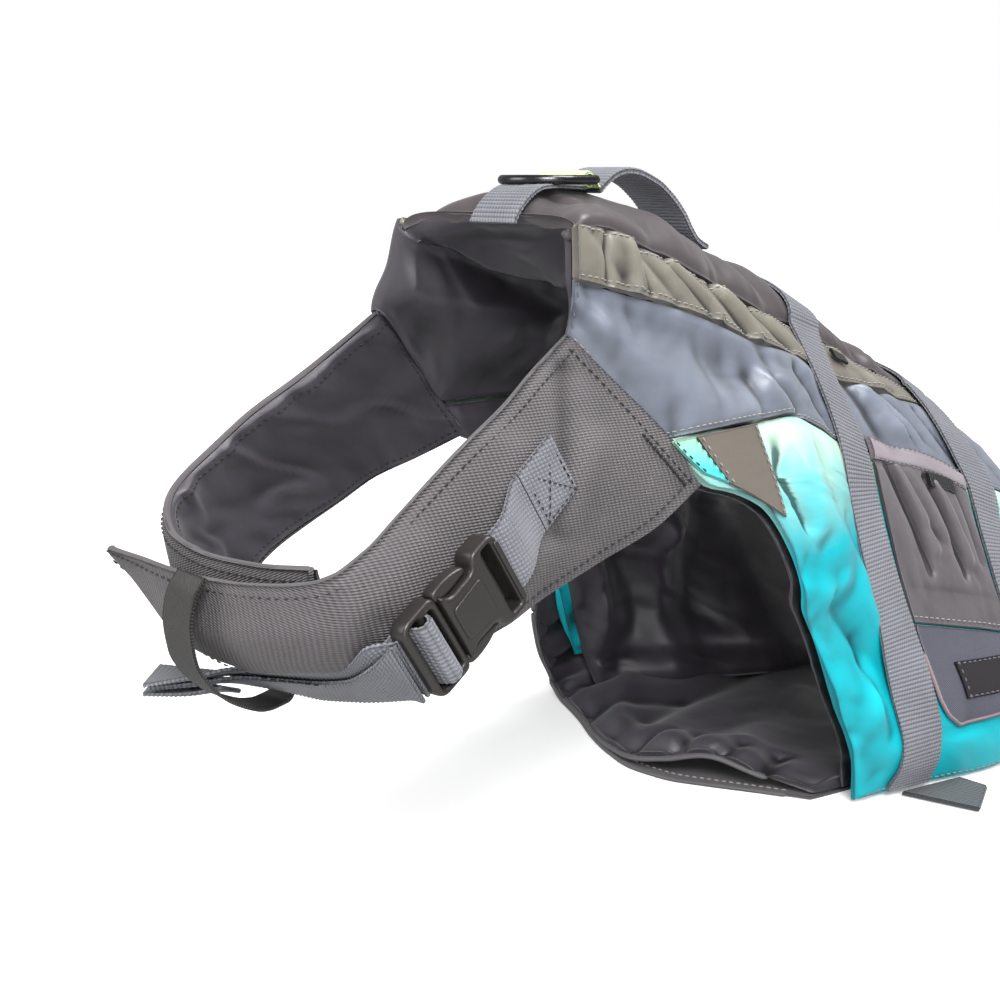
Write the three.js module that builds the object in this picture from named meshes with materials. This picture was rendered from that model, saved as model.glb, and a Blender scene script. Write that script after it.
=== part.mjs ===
// Dog life jacket lying on a surface, filled out as if worn, with its neck band clipped at the chest.
// Millimetres, +Z up. The neck is towards -X, the tail towards +X, the left side towards -Y.
// Every panel follows one body surface given by lines that run from neck to tail.
import * as THREE from 'three';

// Wall build, outside to inside
const PANEL_THICK = 7.6;
const LINING_THICK = 1.3;
const SEAM_GAP = 0.3;
// Room for the facets between layers that lie on each other
const LAYER_GAP = 0.9;
const STRAP_LIFT = 2.1;
const FACET_LIFT = 0.6;
const BAND_THICK = 3.0;
const BAND_LINING_THICK = 1.2;
const WEBBING_THICK = 1.6;
const WEBBING_WIDTH = 25;
// Share of a panel's thickness that is lost at its seams
const SEAM_PINCH = 0.5;
const PATCH_THICK = 0.8;
const POCKET_LIFT = 1.7;

// The row frame's origin lies on the floor under the middle of the belly panel
const ORIGIN_X = 205;
const FLOOR_GAP = 0.4;

// Lengths along X of the body
const STRAP_1_X = 175;
const STRAP_2_X = 268;
const BELLY_REAR_X = 298;

// Body sections from neck to tail. Each line is a half width (y) and a height (z).
const SECTIONS = [
  { x: 0, crest: 269, seamY: 50.5, seamZ: 263.5, stripY: 51, stripZ: 243, yokeY: 47, yokeZ: 222,
    ribY: 70, ribZ: 172, waistY: 80, waistZ: 120, flareY: 84, flareZ: 72, hipY: 80, hipZ: 30, footY: 76 },
  { x: 18, crest: 273.5, seamY: 48.5, seamZ: 261, stripY: 51.5, stripZ: 239, yokeY: 56.5, yokeZ: 201,
    ribY: 75, ribZ: 158, waistY: 84, waistZ: 116, flareY: 85, flareZ: 72, hipY: 81, hipZ: 30, footY: 76 },
  { x: 38, crest: 273, seamY: 45.5, seamZ: 254.5, stripY: 51.5, stripZ: 234.5, yokeY: 65.6, yokeZ: 181,
    ribY: 80, ribZ: 146, waistY: 87, waistZ: 112, flareY: 87, flareZ: 72, hipY: 83, hipZ: 30, footY: 77 },
  { x: 60, crest: 270, seamY: 42, seamZ: 248, stripY: 52, stripZ: 229, yokeY: 67, yokeZ: 181.5,
    ribY: 82.5, ribZ: 145, waistY: 88, waistZ: 110, flareY: 88, flareZ: 72, hipY: 84, hipZ: 30, footY: 78 },
  { x: 115, crest: 252, seamY: 36, seamZ: 229, stripY: 50, stripZ: 211, yokeY: 64, yokeZ: 181,
    ribY: 81, ribZ: 138, waistY: 87, waistZ: 108, flareY: 88, flareZ: 72, hipY: 87, hipZ: 30, footY: 82 },
  { x: 145, crest: 240.5, seamY: 32.5, seamZ: 218.5, stripY: 46, stripZ: 203, yokeY: 61, yokeZ: 172,
    ribY: 74, ribZ: 136, waistY: 81.5, waistZ: 108, flareY: 90, flareZ: 72, hipY: 95, hipZ: 30, footY: 90 },
  { x: 175, crest: 228.5, seamY: 28.5, seamZ: 209, stripY: 42, stripZ: 191, yokeY: 59, yokeZ: 158,
    ribY: 66, ribZ: 134, waistY: 75, waistZ: 108, flareY: 89, flareZ: 72, hipY: 104, hipZ: 30, footY: 98 },
  { x: 230, crest: 205, seamY: 30, seamZ: 187, stripY: 45, stripZ: 176, yokeY: 65, yokeZ: 146,
    ribY: 74, ribZ: 124, waistY: 82, waistZ: 103, flareY: 97, flareZ: 70, hipY: 118, hipZ: 30, footY: 116 },
  { x: 270, crest: 187, seamY: 30, seamZ: 172, stripY: 44, stripZ: 163, yokeY: 73, yokeZ: 130,
    ribY: 80, ribZ: 111, waistY: 88, waistZ: 95, flareY: 101, flareZ: 66, hipY: 121, hipZ: 30, footY: 119 },
  { x: 332, crest: 153, seamY: 29, seamZ: 141, stripY: 44, stripZ: 133, yokeY: 76, yokeZ: 108,
    ribY: 83, ribZ: 94, waistY: 90, waistZ: 82, flareY: 102, flareZ: 60, hipY: 119, hipZ: 30, footY: 118 },
];
const LINES = ['seam', 'strip', 'yoke', 'rib', 'waist', 'flare', 'hip'];
const FOOT_Z = 1.2;
const FOOT_LINE = LINES.length + 1;

// The right side stands wider at the neck than the left one, and sinks inwards towards the tail
const RIGHT_LEAN = [
  { x: 0, seam: 0, strip: 9.5, yoke: 24.5, rib: 0, waist: 0, flare: 0, hip: 0, foot: 0 },
  { x: 38, seam: 0, strip: 5, yoke: 10, rib: 0, waist: 0, flare: 0, hip: 0, foot: 0 },
  { x: 80, seam: 0, strip: 2, yoke: 3, rib: 0, waist: 0, flare: 0, hip: 0, foot: 0 },
  { x: 115, seam: 0, strip: 0, yoke: 0, rib: 0, waist: 0, flare: 0, hip: 0, foot: 2 },
  { x: 145, seam: 0, strip: 0, yoke: 0, rib: 0, waist: 0, flare: 0, hip: -3, foot: -1 },
  { x: 175, seam: 0, strip: 0, yoke: 0, rib: 0, waist: -1, flare: -6, hip: -22, foot: -25 },
  { x: 230, seam: 0, strip: 0, yoke: 0, rib: -3, waist: -9, flare: -29, hip: -65, foot: -75 },
  { x: 270, seam: 0, strip: -1, yoke: -5, rib: -12, waist: -22, flare: -46, hip: -86, foot: -101 },
  { x: 332, seam: 0, strip: -1, yoke: -6, rib: -15, waist: -26, flare: -50, hip: -92, foot: -108 },
];

// Front and rear outlines of the side panels: position along X at each line number
const LEG_EDGE = [
  { line: 3, x: 38.6 }, { line: 3.5, x: 51 }, { line: 3.62, x: 66 }, { line: 3.85, x: 85 },
  { line: 4.36, x: 98 }, { line: 5.05, x: 106 }, { line: 5.7, x: 116 }, { line: 6.4, x: 128 },
  { line: 6.9, x: 137 }, { line: 8, x: 147 },
];
const REAR_EDGE = [
  { line: 0, x: 330 }, { line: 1, x: 327 }, { line: 2, x: 321 }, { line: 3, x: 318 },
  { line: 5, x: 318 }, { line: 7, x: 311 }, { line: 8, x: 305 },
];

// Largest folds: a trough (depth below zero) or ridge from one place to another
const FOLDS = [
  { x1: 112, line1: 5.2, x2: 150, line2: 5.9, depth: -3.2, width: 7 },
  { x1: 140, line1: 5.3, x2: 168, line2: 6.6, depth: -3.0, width: 8 },
  { x1: 150, line1: 6.5, x2: 170, line2: 7.4, depth: 2.6, width: 8 },
  { x1: 108, line1: 3.6, x2: 140, line2: 4.6, depth: 2.0, width: 9 },
  { x1: 205, line1: 7.0, x2: 250, line2: 7.4, depth: -2.2, width: 8 },
  { x1: 240, line1: 2.2, x2: 262, line2: 2.9, depth: -2.0, width: 8 },
  { x1: 192, line1: 2.1, x2: 206, line2: 2.9, depth: -2.0, width: 7 },
  { x1: 286, line1: 4.0, x2: 305, line2: 6.4, depth: -2.4, width: 9 },
  { x1: 150, line1: 0.3, x2: 182, line2: 0.9, depth: 1.8, width: 8 },
  { x1: 300, line1: 0.2, x2: 318, line2: 0.9, depth: -2.0, width: 8 },
];
const LINE_PITCH = 26;
// How far the spine pad swells between its crest and its seams
const PAD_PUFF = 2.6;
// Half the span, in lines, over which the surface normal is averaged
const NORMAL_SPAN = 0.4;

// Belly panel: front edge on the floor by width, then up the right side by line number
const BELLY_FLOOR_FRONT = [
  { y: -95, x: 146 }, { y: -67, x: 129 }, { y: -39, x: 113 }, { y: -20, x: 104 }, { y: 3, x: 101 },
  { y: 35, x: 110 }, { y: 75, x: 131 }, { y: 96, x: 139 }, { y: 125, x: 140 },
];
const BELLY_SIDE = [
  { line: 7.15, front: 131 }, { line: 6.85, front: 127 }, { line: 6.5, front: 124 },
  { line: 6.15, front: 126 }, { line: 5.88, front: 140 },
];
const BELLY_COVER_THICK = 1.6;
const BELLY_PAD_THICK = 6.2;
const BELLY_GAP = 0.8;
// Share of the pad's thickness where the panel stands up the right side
const BELLY_SIDE_PAD = 0.6;
const BELLY_CORNER = 16;
const BELLY_CORNER_ANGLES = [-90, -68, -46, -24];
const BELLY_NEAR_SETBACK = 13.5;
const BELLY_FLOOR_STEPS = 8;
const BELLY_ARCH = { y: -28, x: 116, rise: 13, spreadX: 20, spreadY: 34 };

// Neck band edges from the shoulder seam to the free end: upper edge (u), lower edge (l), outward belly
const LEFT_BAND = [
  { ux: -1.2, uy: -46.6, uz: 220.6, lx: 48.6, ly: -72.4, lz: 163.2, belly: 1 },
  { ux: -22, uy: -53, uz: 212, lx: 24, ly: -70, lz: 149, belly: 3 },
  { ux: -44, uy: -59, uz: 201, lx: -4, ly: -67, lz: 140, belly: 4 },
  { ux: -63, uy: -62, uz: 192, lx: -30, ly: -68, lz: 134, belly: 5 },
  { ux: -82, uy: -66, uz: 183, lx: -57, ly: -71, lz: 128, belly: 6 },
  { ux: -100, uy: -70, uz: 174, lx: -82, ly: -73, lz: 122, belly: 7 },
  { ux: -114, uy: -73, uz: 167, lx: -99, ly: -70, lz: 119, belly: 8 },
  { ux: -124, uy: -73, uz: 162, lx: -109, ly: -61, lz: 117, belly: 9 },
  { ux: -131, uy: -70, uz: 159, lx: -115, ly: -49, lz: 116, belly: 10 },
  { ux: -136, uy: -62, uz: 157, lx: -119, ly: -38, lz: 115.5, belly: 10 },
  { ux: -140, uy: -49, uz: 155, lx: -124, ly: -26, lz: 115, belly: 10 },
  { ux: -143, uy: -32, uz: 153, lx: -128, ly: -12, lz: 116, belly: 9 },
  { ux: -146, uy: -11, uz: 152, lx: -131, ly: 3, lz: 119, belly: 8 },
  { ux: -147, uy: 10, uz: 152, lx: -135, ly: 14, lz: 128, belly: 5 },
  { ux: -147, uy: 26, uz: 151.5, lx: -141, ly: 24, lz: 140, belly: 2 },
  { ux: -147, uy: 38, uz: 151, lx: -146, ly: 36, lz: 148, belly: 0 },
];
const RIGHT_BAND = [
  { ux: -1.2, uy: 71.6, uz: 220.6, lx: 48.6, ly: 75, lz: 162.2, belly: 1 },
  { ux: -20, uy: 68, uz: 212, lx: 30, ly: 79, lz: 155.5, belly: 3 },
  { ux: -43, uy: 65, uz: 201, lx: 8, ly: 80, lz: 150, belly: 4 },
  { ux: -69, uy: 63, uz: 189, lx: -20, ly: 74, lz: 142, belly: 5 },
  { ux: -91, uy: 58, uz: 178, lx: -50, ly: 66, lz: 134, belly: 6 },
  { ux: -108, uy: 52, uz: 170, lx: -76, ly: 53, lz: 128, belly: 6 },
  { ux: -121, uy: 42, uz: 164, lx: -94, ly: 40, lz: 121, belly: 6 },
  { ux: -130, uy: 27, uz: 159, lx: -107, ly: 26, lz: 117, belly: 6 },
  { ux: -134, uy: 14, uz: 157, lx: -114, ly: 12, lz: 114, belly: 6 },
  { ux: -136, uy: -9, uz: 156, lx: -117, ly: -8, lz: 112.5, belly: 6 },
  { ux: -133, uy: -36, uz: 157, lx: -112, ly: -29, lz: 112, belly: 6 },
  { ux: -127, uy: -57, uz: 159, lx: -104, ly: -46, lz: 113, belly: 6 },
];

// Chest webbing from the buckle's bar to its free end: upper edge (t) and lower edge (b)
const CHEST_WEBBING = [
  { tx: -117.6, ty: -86, tz: 138.6, bx: -105.8, by: -87, bz: 118.4 },
  { tx: -118.5, ty: -77, tz: 130, bx: -101, by: -73, bz: 113.5 },
  { tx: -117.5, ty: -62, tz: 120.8, bx: -103, by: -49, bz: 106.5 },
  { tx: -120, ty: -43, tz: 115.8, bx: -106, by: -28, bz: 102.5 },
  { tx: -124, ty: -29, tz: 113.8, bx: -109, by: -14, bz: 102 },
  { tx: -129, ty: -16, tz: 112.2, bx: -113, by: -1, bz: 101.5 },
  { tx: -138, ty: -1, tz: 108, bx: -120, by: 13, bz: 102 },
  { tx: -147, ty: 14, tz: 104.5, bx: -131, by: 31, bz: 103 },
];
const CHEST_TAB = [
  { tx: -131, ty: -9, tz: 107.2, bx: -115, by: 5, bz: 97.6 },
  { tx: -138, ty: 2, tz: 103.6, bx: -121, by: 16, bz: 98.4 },
  { tx: -147.5, ty: 17, tz: 101.5, bx: -131, by: 34, bz: 100 },
];

// Patches and pocket on the side panels: corners by length (x) and line, run round the patch
const TAUPE_PATCH = [
  { x: 50, line: 3.03 }, { x: 89, line: 3.03 }, { x: 89.5, line: 3.82 }, { x: 61, line: 3.5 },
];
const MINT_PATCH = [
  { x: 41, line: 3.05 }, { x: 47.5, line: 3.03 }, { x: 57.5, line: 3.47 }, { x: 52, line: 3.41 },
];
// Each level of the pocket as its front and rear line, because it slopes
const POCKET = {
  frontX: 188.5, rearX: 253.5, puff: 3.2,
  bindTop: [2.8, 3.06], bindLow: [3.15, 3.42], pouchTop: [3.19, 3.46], pouchLow: [5.86, 6.2],
  lowerTop: [5.9, 6.24], lowerLow: 6.95,
};
const LOWER_FRONT = [
  { line: 5.9, x: 188.5 }, { line: 6.6, x: 188.7 }, { line: 6.8, x: 191 }, { line: 6.95, x: 197 },
];
const LABEL = { frontX: 204, rearX: 248, top: [6.36, 6.42], low: [6.7, 6.74] };
const PULL_TAB = { frontX: 221, rearX: 238, top: [3.38, 3.44], low: [3.66, 3.72] };

// Webbing above the buckle: distances up from its top bar, where the sewn end starts and stops
const SEWN_END = { low: 28.5, high: 51 };

// Elastic keeper: path in X and Z round the front of the band
const KEEPER = [
  { x: -146.6, z: 154.6, y: -21.5, width: 17 }, { x: -151.2, z: 148, y: -21.5, width: 17 },
  { x: -153, z: 139, y: -21.5, width: 17 }, { x: -151.4, z: 128, y: -21, width: 17 },
  { x: -147, z: 120, y: -20, width: 17 }, { x: -139.8, z: 112, y: -19.5, width: 15 },
  { x: -130.5, z: 105.8, y: -17.5, width: 15 }, { x: -122, z: 101.6, y: -14.5, width: 14 },
  { x: -114.5, z: 99.6, y: -11, width: 13 }, { x: -108.5, z: 99.4, y: -9, width: 13 },
  { x: -104, z: 102, y: -7, width: 13 },
];
const KEEPER_THICK = 1.2;

// Lifting handle along the back: height above the crest of the back
const HANDLE = [
  { x: 54, lift: 1.6 }, { x: 58, lift: 5.5 }, { x: 64, lift: 10 }, { x: 71, lift: 13 },
  { x: 80, lift: 14.4 }, { x: 89, lift: 14.2 }, { x: 98, lift: 12 }, { x: 106, lift: 8 },
  { x: 112, lift: 3.6 }, { x: 117, lift: 1.6 }, { x: 124, lift: 1.6 },
];
const HANDLE_WIDTH = 24;
const HANDLE_THICK = 2.6;

// D ring, hinged in its loop across the back
const RING = { barX: 46, z: 278.2, length: 30, halfWidth: 17, wire: 3.8 };

// Side release buckle on the left band
const BUCKLE = { x: -88, y: -84.5, z: 143, length: 48, width: 31, thick: 10 };
const BUCKLE_DIR = { x: -0.86, y: -0.08, z: -0.5 };

/** Monotone cubic through one named column of a table. */
function column(table, key, name) {
  const xs = table.map((row) => row[key]);
  const ys = table.map((row) => row[name]);
  return monotone(xs, ys);
}

/** Monotone cubic interpolation, so a line never overshoots its sections. */
function monotone(xs, ys) {
  const n = xs.length;
  const slope = [];
  for (let i = 0; i < n - 1; i += 1) {
    slope.push((ys[i + 1] - ys[i]) / (xs[i + 1] - xs[i]));
  }
  const tangent = new Array(n).fill(0);
  tangent[0] = slope[0];
  tangent[n - 1] = slope[n - 2];
  for (let i = 1; i < n - 1; i += 1) {
    if (slope[i - 1] * slope[i] > 0) {
      const h0 = xs[i] - xs[i - 1];
      const h1 = xs[i + 1] - xs[i];
      const w0 = 2 * h1 + h0;
      const w1 = h1 + 2 * h0;
      tangent[i] = (w0 + w1) / (w0 / slope[i - 1] + w1 / slope[i]);
    }
  }
  return (x) => {
    let i = 0;
    while (i < n - 2 && x > xs[i + 1]) {
      i += 1;
    }
    const h = xs[i + 1] - xs[i];
    const t = (x - xs[i]) / h;
    if (t <= 0) {
      return ys[i] + tangent[i] * (x - xs[i]);
    }
    if (t >= 1) {
      return ys[i + 1] + tangent[i + 1] * (x - xs[i + 1]);
    }
    const t2 = t * t;
    const t3 = t2 * t;
    return (2 * t3 - 3 * t2 + 1) * ys[i] + (t3 - 2 * t2 + t) * h * tangent[i]
      + (3 * t2 - 2 * t3) * ys[i + 1] + (t3 - t2) * h * tangent[i + 1];
  };
}

const crestZ = column(SECTIONS, 'x', 'crest');
const footY = column(SECTIONS, 'x', 'footY');
const lineY = LINES.map((line) => column(SECTIONS, 'x', `${line}Y`));
const lineZ = LINES.map((line) => column(SECTIONS, 'x', `${line}Z`));
const lean = [...LINES, 'foot'].map((line) => column(RIGHT_LEAN, 'x', line));
const footRight = (x) => footY(x) + lean[LINES.length](x);
const legX = column(LEG_EDGE, 'line', 'x');
const rearX = column(REAR_EDGE, 'line', 'x');

/** One cross-section of the body: y and z as functions of the line number, left above zero. */
const sectionCache = new Map();
function section(x) {
  const key = x.toFixed(4);
  if (!sectionCache.has(key)) {
    const lines = [0];
    const ys = [0];
    const zs = [crestZ(x)];
    for (let k = 0; k < LINES.length; k += 1) {
      lines.push(k + 1);
      ys.push(-lineY[k](x));
      zs.push(lineZ[k](x));
      lines.unshift(-k - 1);
      ys.unshift(lineY[k](x) + lean[k](x));
      zs.unshift(lineZ[k](x));
    }
    lines.push(FOOT_LINE);
    ys.push(-footY(x));
    zs.push(FOOT_Z);
    lines.unshift(-FOOT_LINE);
    ys.unshift(footRight(x));
    zs.unshift(FOOT_Z);
    sectionCache.set(key, { y: monotone(lines, ys), z: monotone(lines, zs) });
  }
  return sectionCache.get(key);
}

/** Plain body surface at a length x and a line number. */
function bodyPlain(x, line) {
  const cut = section(x);
  return new THREE.Vector3(x, cut.y(line), cut.z(line));
}

/** Outward normal of the plain body surface. */
function bodyNormal(x, line) {
  const along = bodyPlain(x + 1, line).sub(bodyPlain(x - 1, line));
  const across = bodyPlain(x, line + NORMAL_SPAN).sub(bodyPlain(x, line - NORMAL_SPAN));
  return across.cross(along).normalize();
}

/** Height of the folds at a place on the body. */
function foldHeight(x, line) {
  const v = Math.abs(line);
  let height = v < 1 ? PAD_PUFF * 4 * v * v * (1 - v * v) : 0;
  for (const fold of FOLDS) {
    const dx = fold.x2 - fold.x1;
    const dv = (fold.line2 - fold.line1) * LINE_PITCH;
    const px = x - fold.x1;
    const pv = (v - fold.line1) * LINE_PITCH;
    const t = THREE.MathUtils.clamp((px * dx + pv * dv) / (dx * dx + dv * dv), 0, 1);
    const away = Math.hypot(px - t * dx, pv - t * dv);
    height += fold.depth * Math.exp(-((away / fold.width) ** 2));
  }
  return height;
}

/** Point of the body surface moved out along its normal. */
function body(x, line, out = 0) {
  const normal = bodyNormal(x, line);
  return bodyPlain(x, line).addScaledVector(normal, out + foldHeight(x, line));
}

/** Closed wall between two grids of points: front[i][j] outside, back[i][j] inside. */
function wallGeometry(front, back) {
  const rows = front.length;
  const cols = front[0].length;
  const positions = [];
  for (const grid of [front, back]) {
    for (const row of grid) {
      for (const p of row) {
        positions.push(p.x, p.y, p.z);
      }
    }
  }
  const half = rows * cols;
  const at = (layer, i, j) => layer * half + i * cols + j;
  const faces = [];
  const quad = (a, b, c, d) => faces.push(a, b, c, a, c, d);
  for (let i = 0; i < rows - 1; i += 1) {
    for (let j = 0; j < cols - 1; j += 1) {
      quad(at(0, i, j), at(0, i + 1, j), at(0, i + 1, j + 1), at(0, i, j + 1));
      quad(at(1, i, j), at(1, i, j + 1), at(1, i + 1, j + 1), at(1, i + 1, j));
    }
  }
  for (let i = 0; i < rows - 1; i += 1) {
    quad(at(0, i, 0), at(1, i, 0), at(1, i + 1, 0), at(0, i + 1, 0));
    quad(at(0, i, cols - 1), at(0, i + 1, cols - 1), at(1, i + 1, cols - 1), at(1, i, cols - 1));
  }
  for (let j = 0; j < cols - 1; j += 1) {
    quad(at(0, 0, j), at(0, 0, j + 1), at(1, 0, j + 1), at(1, 0, j));
    quad(at(0, rows - 1, j), at(1, rows - 1, j), at(1, rows - 1, j + 1), at(0, rows - 1, j + 1));
  }
  return closedGeometry(positions, faces);
}

/** Geometry from points and faces, turned so that its faces point out. */
function closedGeometry(positions, faces) {
  let volume = 0;
  const a = new THREE.Vector3();
  const b = new THREE.Vector3();
  const c = new THREE.Vector3();
  for (let i = 0; i < faces.length; i += 3) {
    a.fromArray(positions, faces[i] * 3);
    b.fromArray(positions, faces[i + 1] * 3);
    c.fromArray(positions, faces[i + 2] * 3);
    volume += a.dot(b.cross(c));
  }
  const index = volume < 0 ? faces.slice().reverse() : faces;
  const geometry = new THREE.BufferGeometry();
  geometry.setAttribute('position', new THREE.Float32BufferAttribute(positions, 3));
  geometry.setIndex(index);
  geometry.computeVertexNormals();
  return geometry;
}

/** Evenly spaced numbers from one value to another. */
function steps(from, to, count) {
  return Array.from({ length: count + 1 }, (_, i) => from + ((to - from) * i) / count);
}

const group = new THREE.Group();
group.position.set(-ORIGIN_X, 0, 0);

/** Adds one named piece with its colour, roughness and metalness. */
function piece(name, geometry, color, roughness = 0.7, metalness = 0) {
  const mesh = new THREE.Mesh(geometry, new THREE.MeshStandardMaterial({ color, roughness, metalness }));
  mesh.name = name;
  group.add(mesh);
  return mesh;
}

/** Wall that follows the body between two lines, from a front outline to a rear one. */
function bodyWall(lines, front, rear, columns, out, thick) {
  const last = lines.length - 1;
  const build = (offset, pinch) => columns.map((u) => lines.map((line, j) => {
    const start = front(line);
    const seam = j === 0 || j === last ? pinch : 0;
    return body(start + (rear(line) - start) * u, line, offset + seam);
  }));
  return wallGeometry(build(out, 0), build(out - thick, thick * SEAM_PINCH));
}

// Lines where the side panels end above the belly panel
const LEFT_FOOT = 7.98;
const RIGHT_FOOT = 7.18;
const LINE_GAP = 0.017;
const rearOf = (line) => rearX(Math.abs(line));
const legOf = (line) => legX(Math.abs(line));
const liningOut = -(PANEL_THICK + LAYER_GAP);

/** Columns crowded towards the front, where the form turns most. */
const BODY_COLUMNS = steps(0, 1, 18).map((u) => 0.72 * u + 0.28 * u * u);
const WING_COLUMNS = steps(0, 1, 14);
const WING_LINES = [3.02, 3.25, 3.5, 3.62, 3.85, 4.36, 5.05, 5.7, 6.4, 6.9, 7.4, LEFT_FOOT];

/** Spine pad, reflective strips and yokes: the back of the jacket. */
function buildBack() {
  const padLines = steps(-1 + 2 * LINE_GAP, 1 - 2 * LINE_GAP, 10);
  const padFront = (line) => 1.5 * (1 - line * line);
  piece('spine_pad', bodyWall(padLines, padFront, rearOf, BODY_COLUMNS, 0, PANEL_THICK), '#47413f', 0.5);
  for (const [side, label] of [[1, 'left'], [-1, 'right']]) {
    const stripLines = steps(1 + LINE_GAP, 2 - LINE_GAP, 2).map((v) => v * side);
    const yokeLines = steps(2 + LINE_GAP, 3 - LINE_GAP, 4).map((v) => v * side);
    const front = () => 0.4;
    piece(`strip_${label}`, bodyWall(stripLines, front, rearOf, BODY_COLUMNS, 0, PANEL_THICK), '#8c8576', 0.6);
    piece(`yoke_${label}`, bodyWall(yokeLines, front, rearOf, BODY_COLUMNS, 0, PANEL_THICK), '#7f8999', 0.55);
  }
  const liningLines = steps(-2.97, 2.97, 14);
  const liningFront = () => 1.6;
  const liningRear = (line) => rearOf(line) - 1.5;
  const lining = bodyWall(liningLines, liningFront, liningRear, BODY_COLUMNS, liningOut, LINING_THICK);
  piece('lining_back', lining, '#3a353d', 0.4);
}

/** Side panels with their leg openings, and the satin behind them. */
function buildWings() {
  for (const [side, label, foot] of [[1, 'left', LEFT_FOOT], [-1, 'right', RIGHT_FOOT]]) {
    const lines = WING_LINES.map((v) => Math.min(v, foot - (LEFT_FOOT - v) * 0.3)).map((v) => v * side);
    piece(`wing_${label}`, bodyWall(lines, legOf, rearOf, WING_COLUMNS, 0, PANEL_THICK), '#12bcc8', 0.5);
    const liningFront = (line) => legOf(line) + 0.9;
    const liningRear = (line) => rearOf(line) - 1.5;
    const liningLines = lines.map((v) => v * 0.998);
    const lining = bodyWall(liningLines, liningFront, liningRear, WING_COLUMNS, liningOut, LINING_THICK);
    piece(`lining_${label}`, lining, '#38333b', 0.4);
  }
}

/** Outer face of the belly panel at a length x: floor, round corner, then up the right side. */
function bellyPath(x) {
  const near = -(footY(x) - BELLY_NEAR_SETBACK);
  const centre = footRight(x) - 4.5;
  const points = steps(0, 1, BELLY_FLOOR_STEPS).map((t) => new THREE.Vector2(near + (centre - near) * t, 0));
  for (const angle of BELLY_CORNER_ANGLES.slice(1)) {
    const a = THREE.MathUtils.degToRad(angle);
    points.push(new THREE.Vector2(centre + BELLY_CORNER * Math.cos(a), BELLY_CORNER * (1 + Math.sin(a))));
  }
  const out = BELLY_COVER_THICK + BELLY_PAD_THICK * BELLY_SIDE_PAD + BELLY_GAP + 2.5;
  for (const row of BELLY_SIDE) {
    const p = body(x, -row.line, out);
    points.push(new THREE.Vector2(p.y, p.z));
  }
  return points;
}

const bellyFloorX = column(BELLY_FLOOR_FRONT, 'y', 'x');

/** Front outline of the belly panel at one point of its path. */
function bellyFront(index, y) {
  const side = index - (BELLY_FLOOR_STEPS + BELLY_CORNER_ANGLES.length);
  return side >= 0 ? BELLY_SIDE[side].front : bellyFloorX(y);
}

/** Grid of the belly panel at a depth inside its outer face. */
function bellyGrid(inset, frontSet, extra) {
  const count = bellyPath(STRAP_1_X).length;
  return steps(0, 1, 12).map((u) => Array.from({ length: count }, (_, j) => {
    const front = bellyFront(j, bellyPath(150)[j].x) + frontSet;
    const x = front + (BELLY_REAR_X - frontSet - front) * u;
    const path = bellyPath(x);
    const before = path[Math.max(j - 1, 0)];
    const after = path[Math.min(j + 1, count - 1)];
    const flat = j <= BELLY_FLOOR_STEPS;
    const normal = flat ? new THREE.Vector2(0, 1)
      : new THREE.Vector2(before.y - after.y, after.x - before.x).normalize();
    const here = path[j];
    const reach = Math.exp(-(((here.x - BELLY_ARCH.y) / BELLY_ARCH.spreadY) ** 2))
      * Math.exp(-(((x - BELLY_ARCH.x) / BELLY_ARCH.spreadX) ** 2));
    const pad = Math.max(inset - BELLY_COVER_THICK - BELLY_GAP, 0);
    const depth = inset + (flat ? extra * reach : pad * (BELLY_SIDE_PAD - 1));
    return new THREE.Vector3(x, here.x + normal.x * depth, here.y + normal.y * depth);
  }));
}

/** Belly panel: a flat cover on the floor and the padded satin inside it. */
function buildBelly() {
  const padInset = BELLY_COVER_THICK + BELLY_GAP;
  piece('belly_cover', wallGeometry(bellyGrid(0, 0, 0), bellyGrid(BELLY_COVER_THICK, 0, 0)), '#5a5560', 0.7);
  piece('belly_pad', wallGeometry(bellyGrid(padInset, 1.5, BELLY_ARCH.rise),
    bellyGrid(padInset + BELLY_PAD_THICK, 1.5, BELLY_ARCH.rise)), '#3a353d', 0.4);
}

/** Surface of a neck band: s runs along it in rows, w from its upper to its lower edge. */
function bandSurface(table) {
  const keys = table.map((_, i) => i);
  const of = Object.fromEntries(['ux', 'uy', 'uz', 'lx', 'ly', 'lz', 'belly']
    .map((name) => [name, monotone(keys, table.map((row) => row[name]))]));
  const plain = (s, w) => new THREE.Vector3(
    of.ux(s) + (of.lx(s) - of.ux(s)) * w,
    of.uy(s) + (of.ly(s) - of.uy(s)) * w,
    of.uz(s) + (of.lz(s) - of.uz(s)) * w,
  );
  const centre = new THREE.Vector3(-40, 0, 150);
  const normalOf = (fn, s, w) => {
    const along = fn(s + 0.05, w).sub(fn(s - 0.05, w));
    const across = fn(s, w + 0.02).sub(fn(s, w - 0.02));
    const normal = across.cross(along).normalize();
    return normal.dot(fn(s, w).sub(centre)) < 0 ? normal.negate() : normal;
  };
  const curved = (s, w) => plain(s, w).addScaledVector(normalOf(plain, s, w), of.belly(s) * 4 * w * (1 - w));
  return (s, w, out) => curved(s, w).addScaledVector(normalOf(curved, s, w), out);
}

const leftBand = bandSurface(LEFT_BAND);
const rightBand = bandSurface(RIGHT_BAND);

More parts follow.
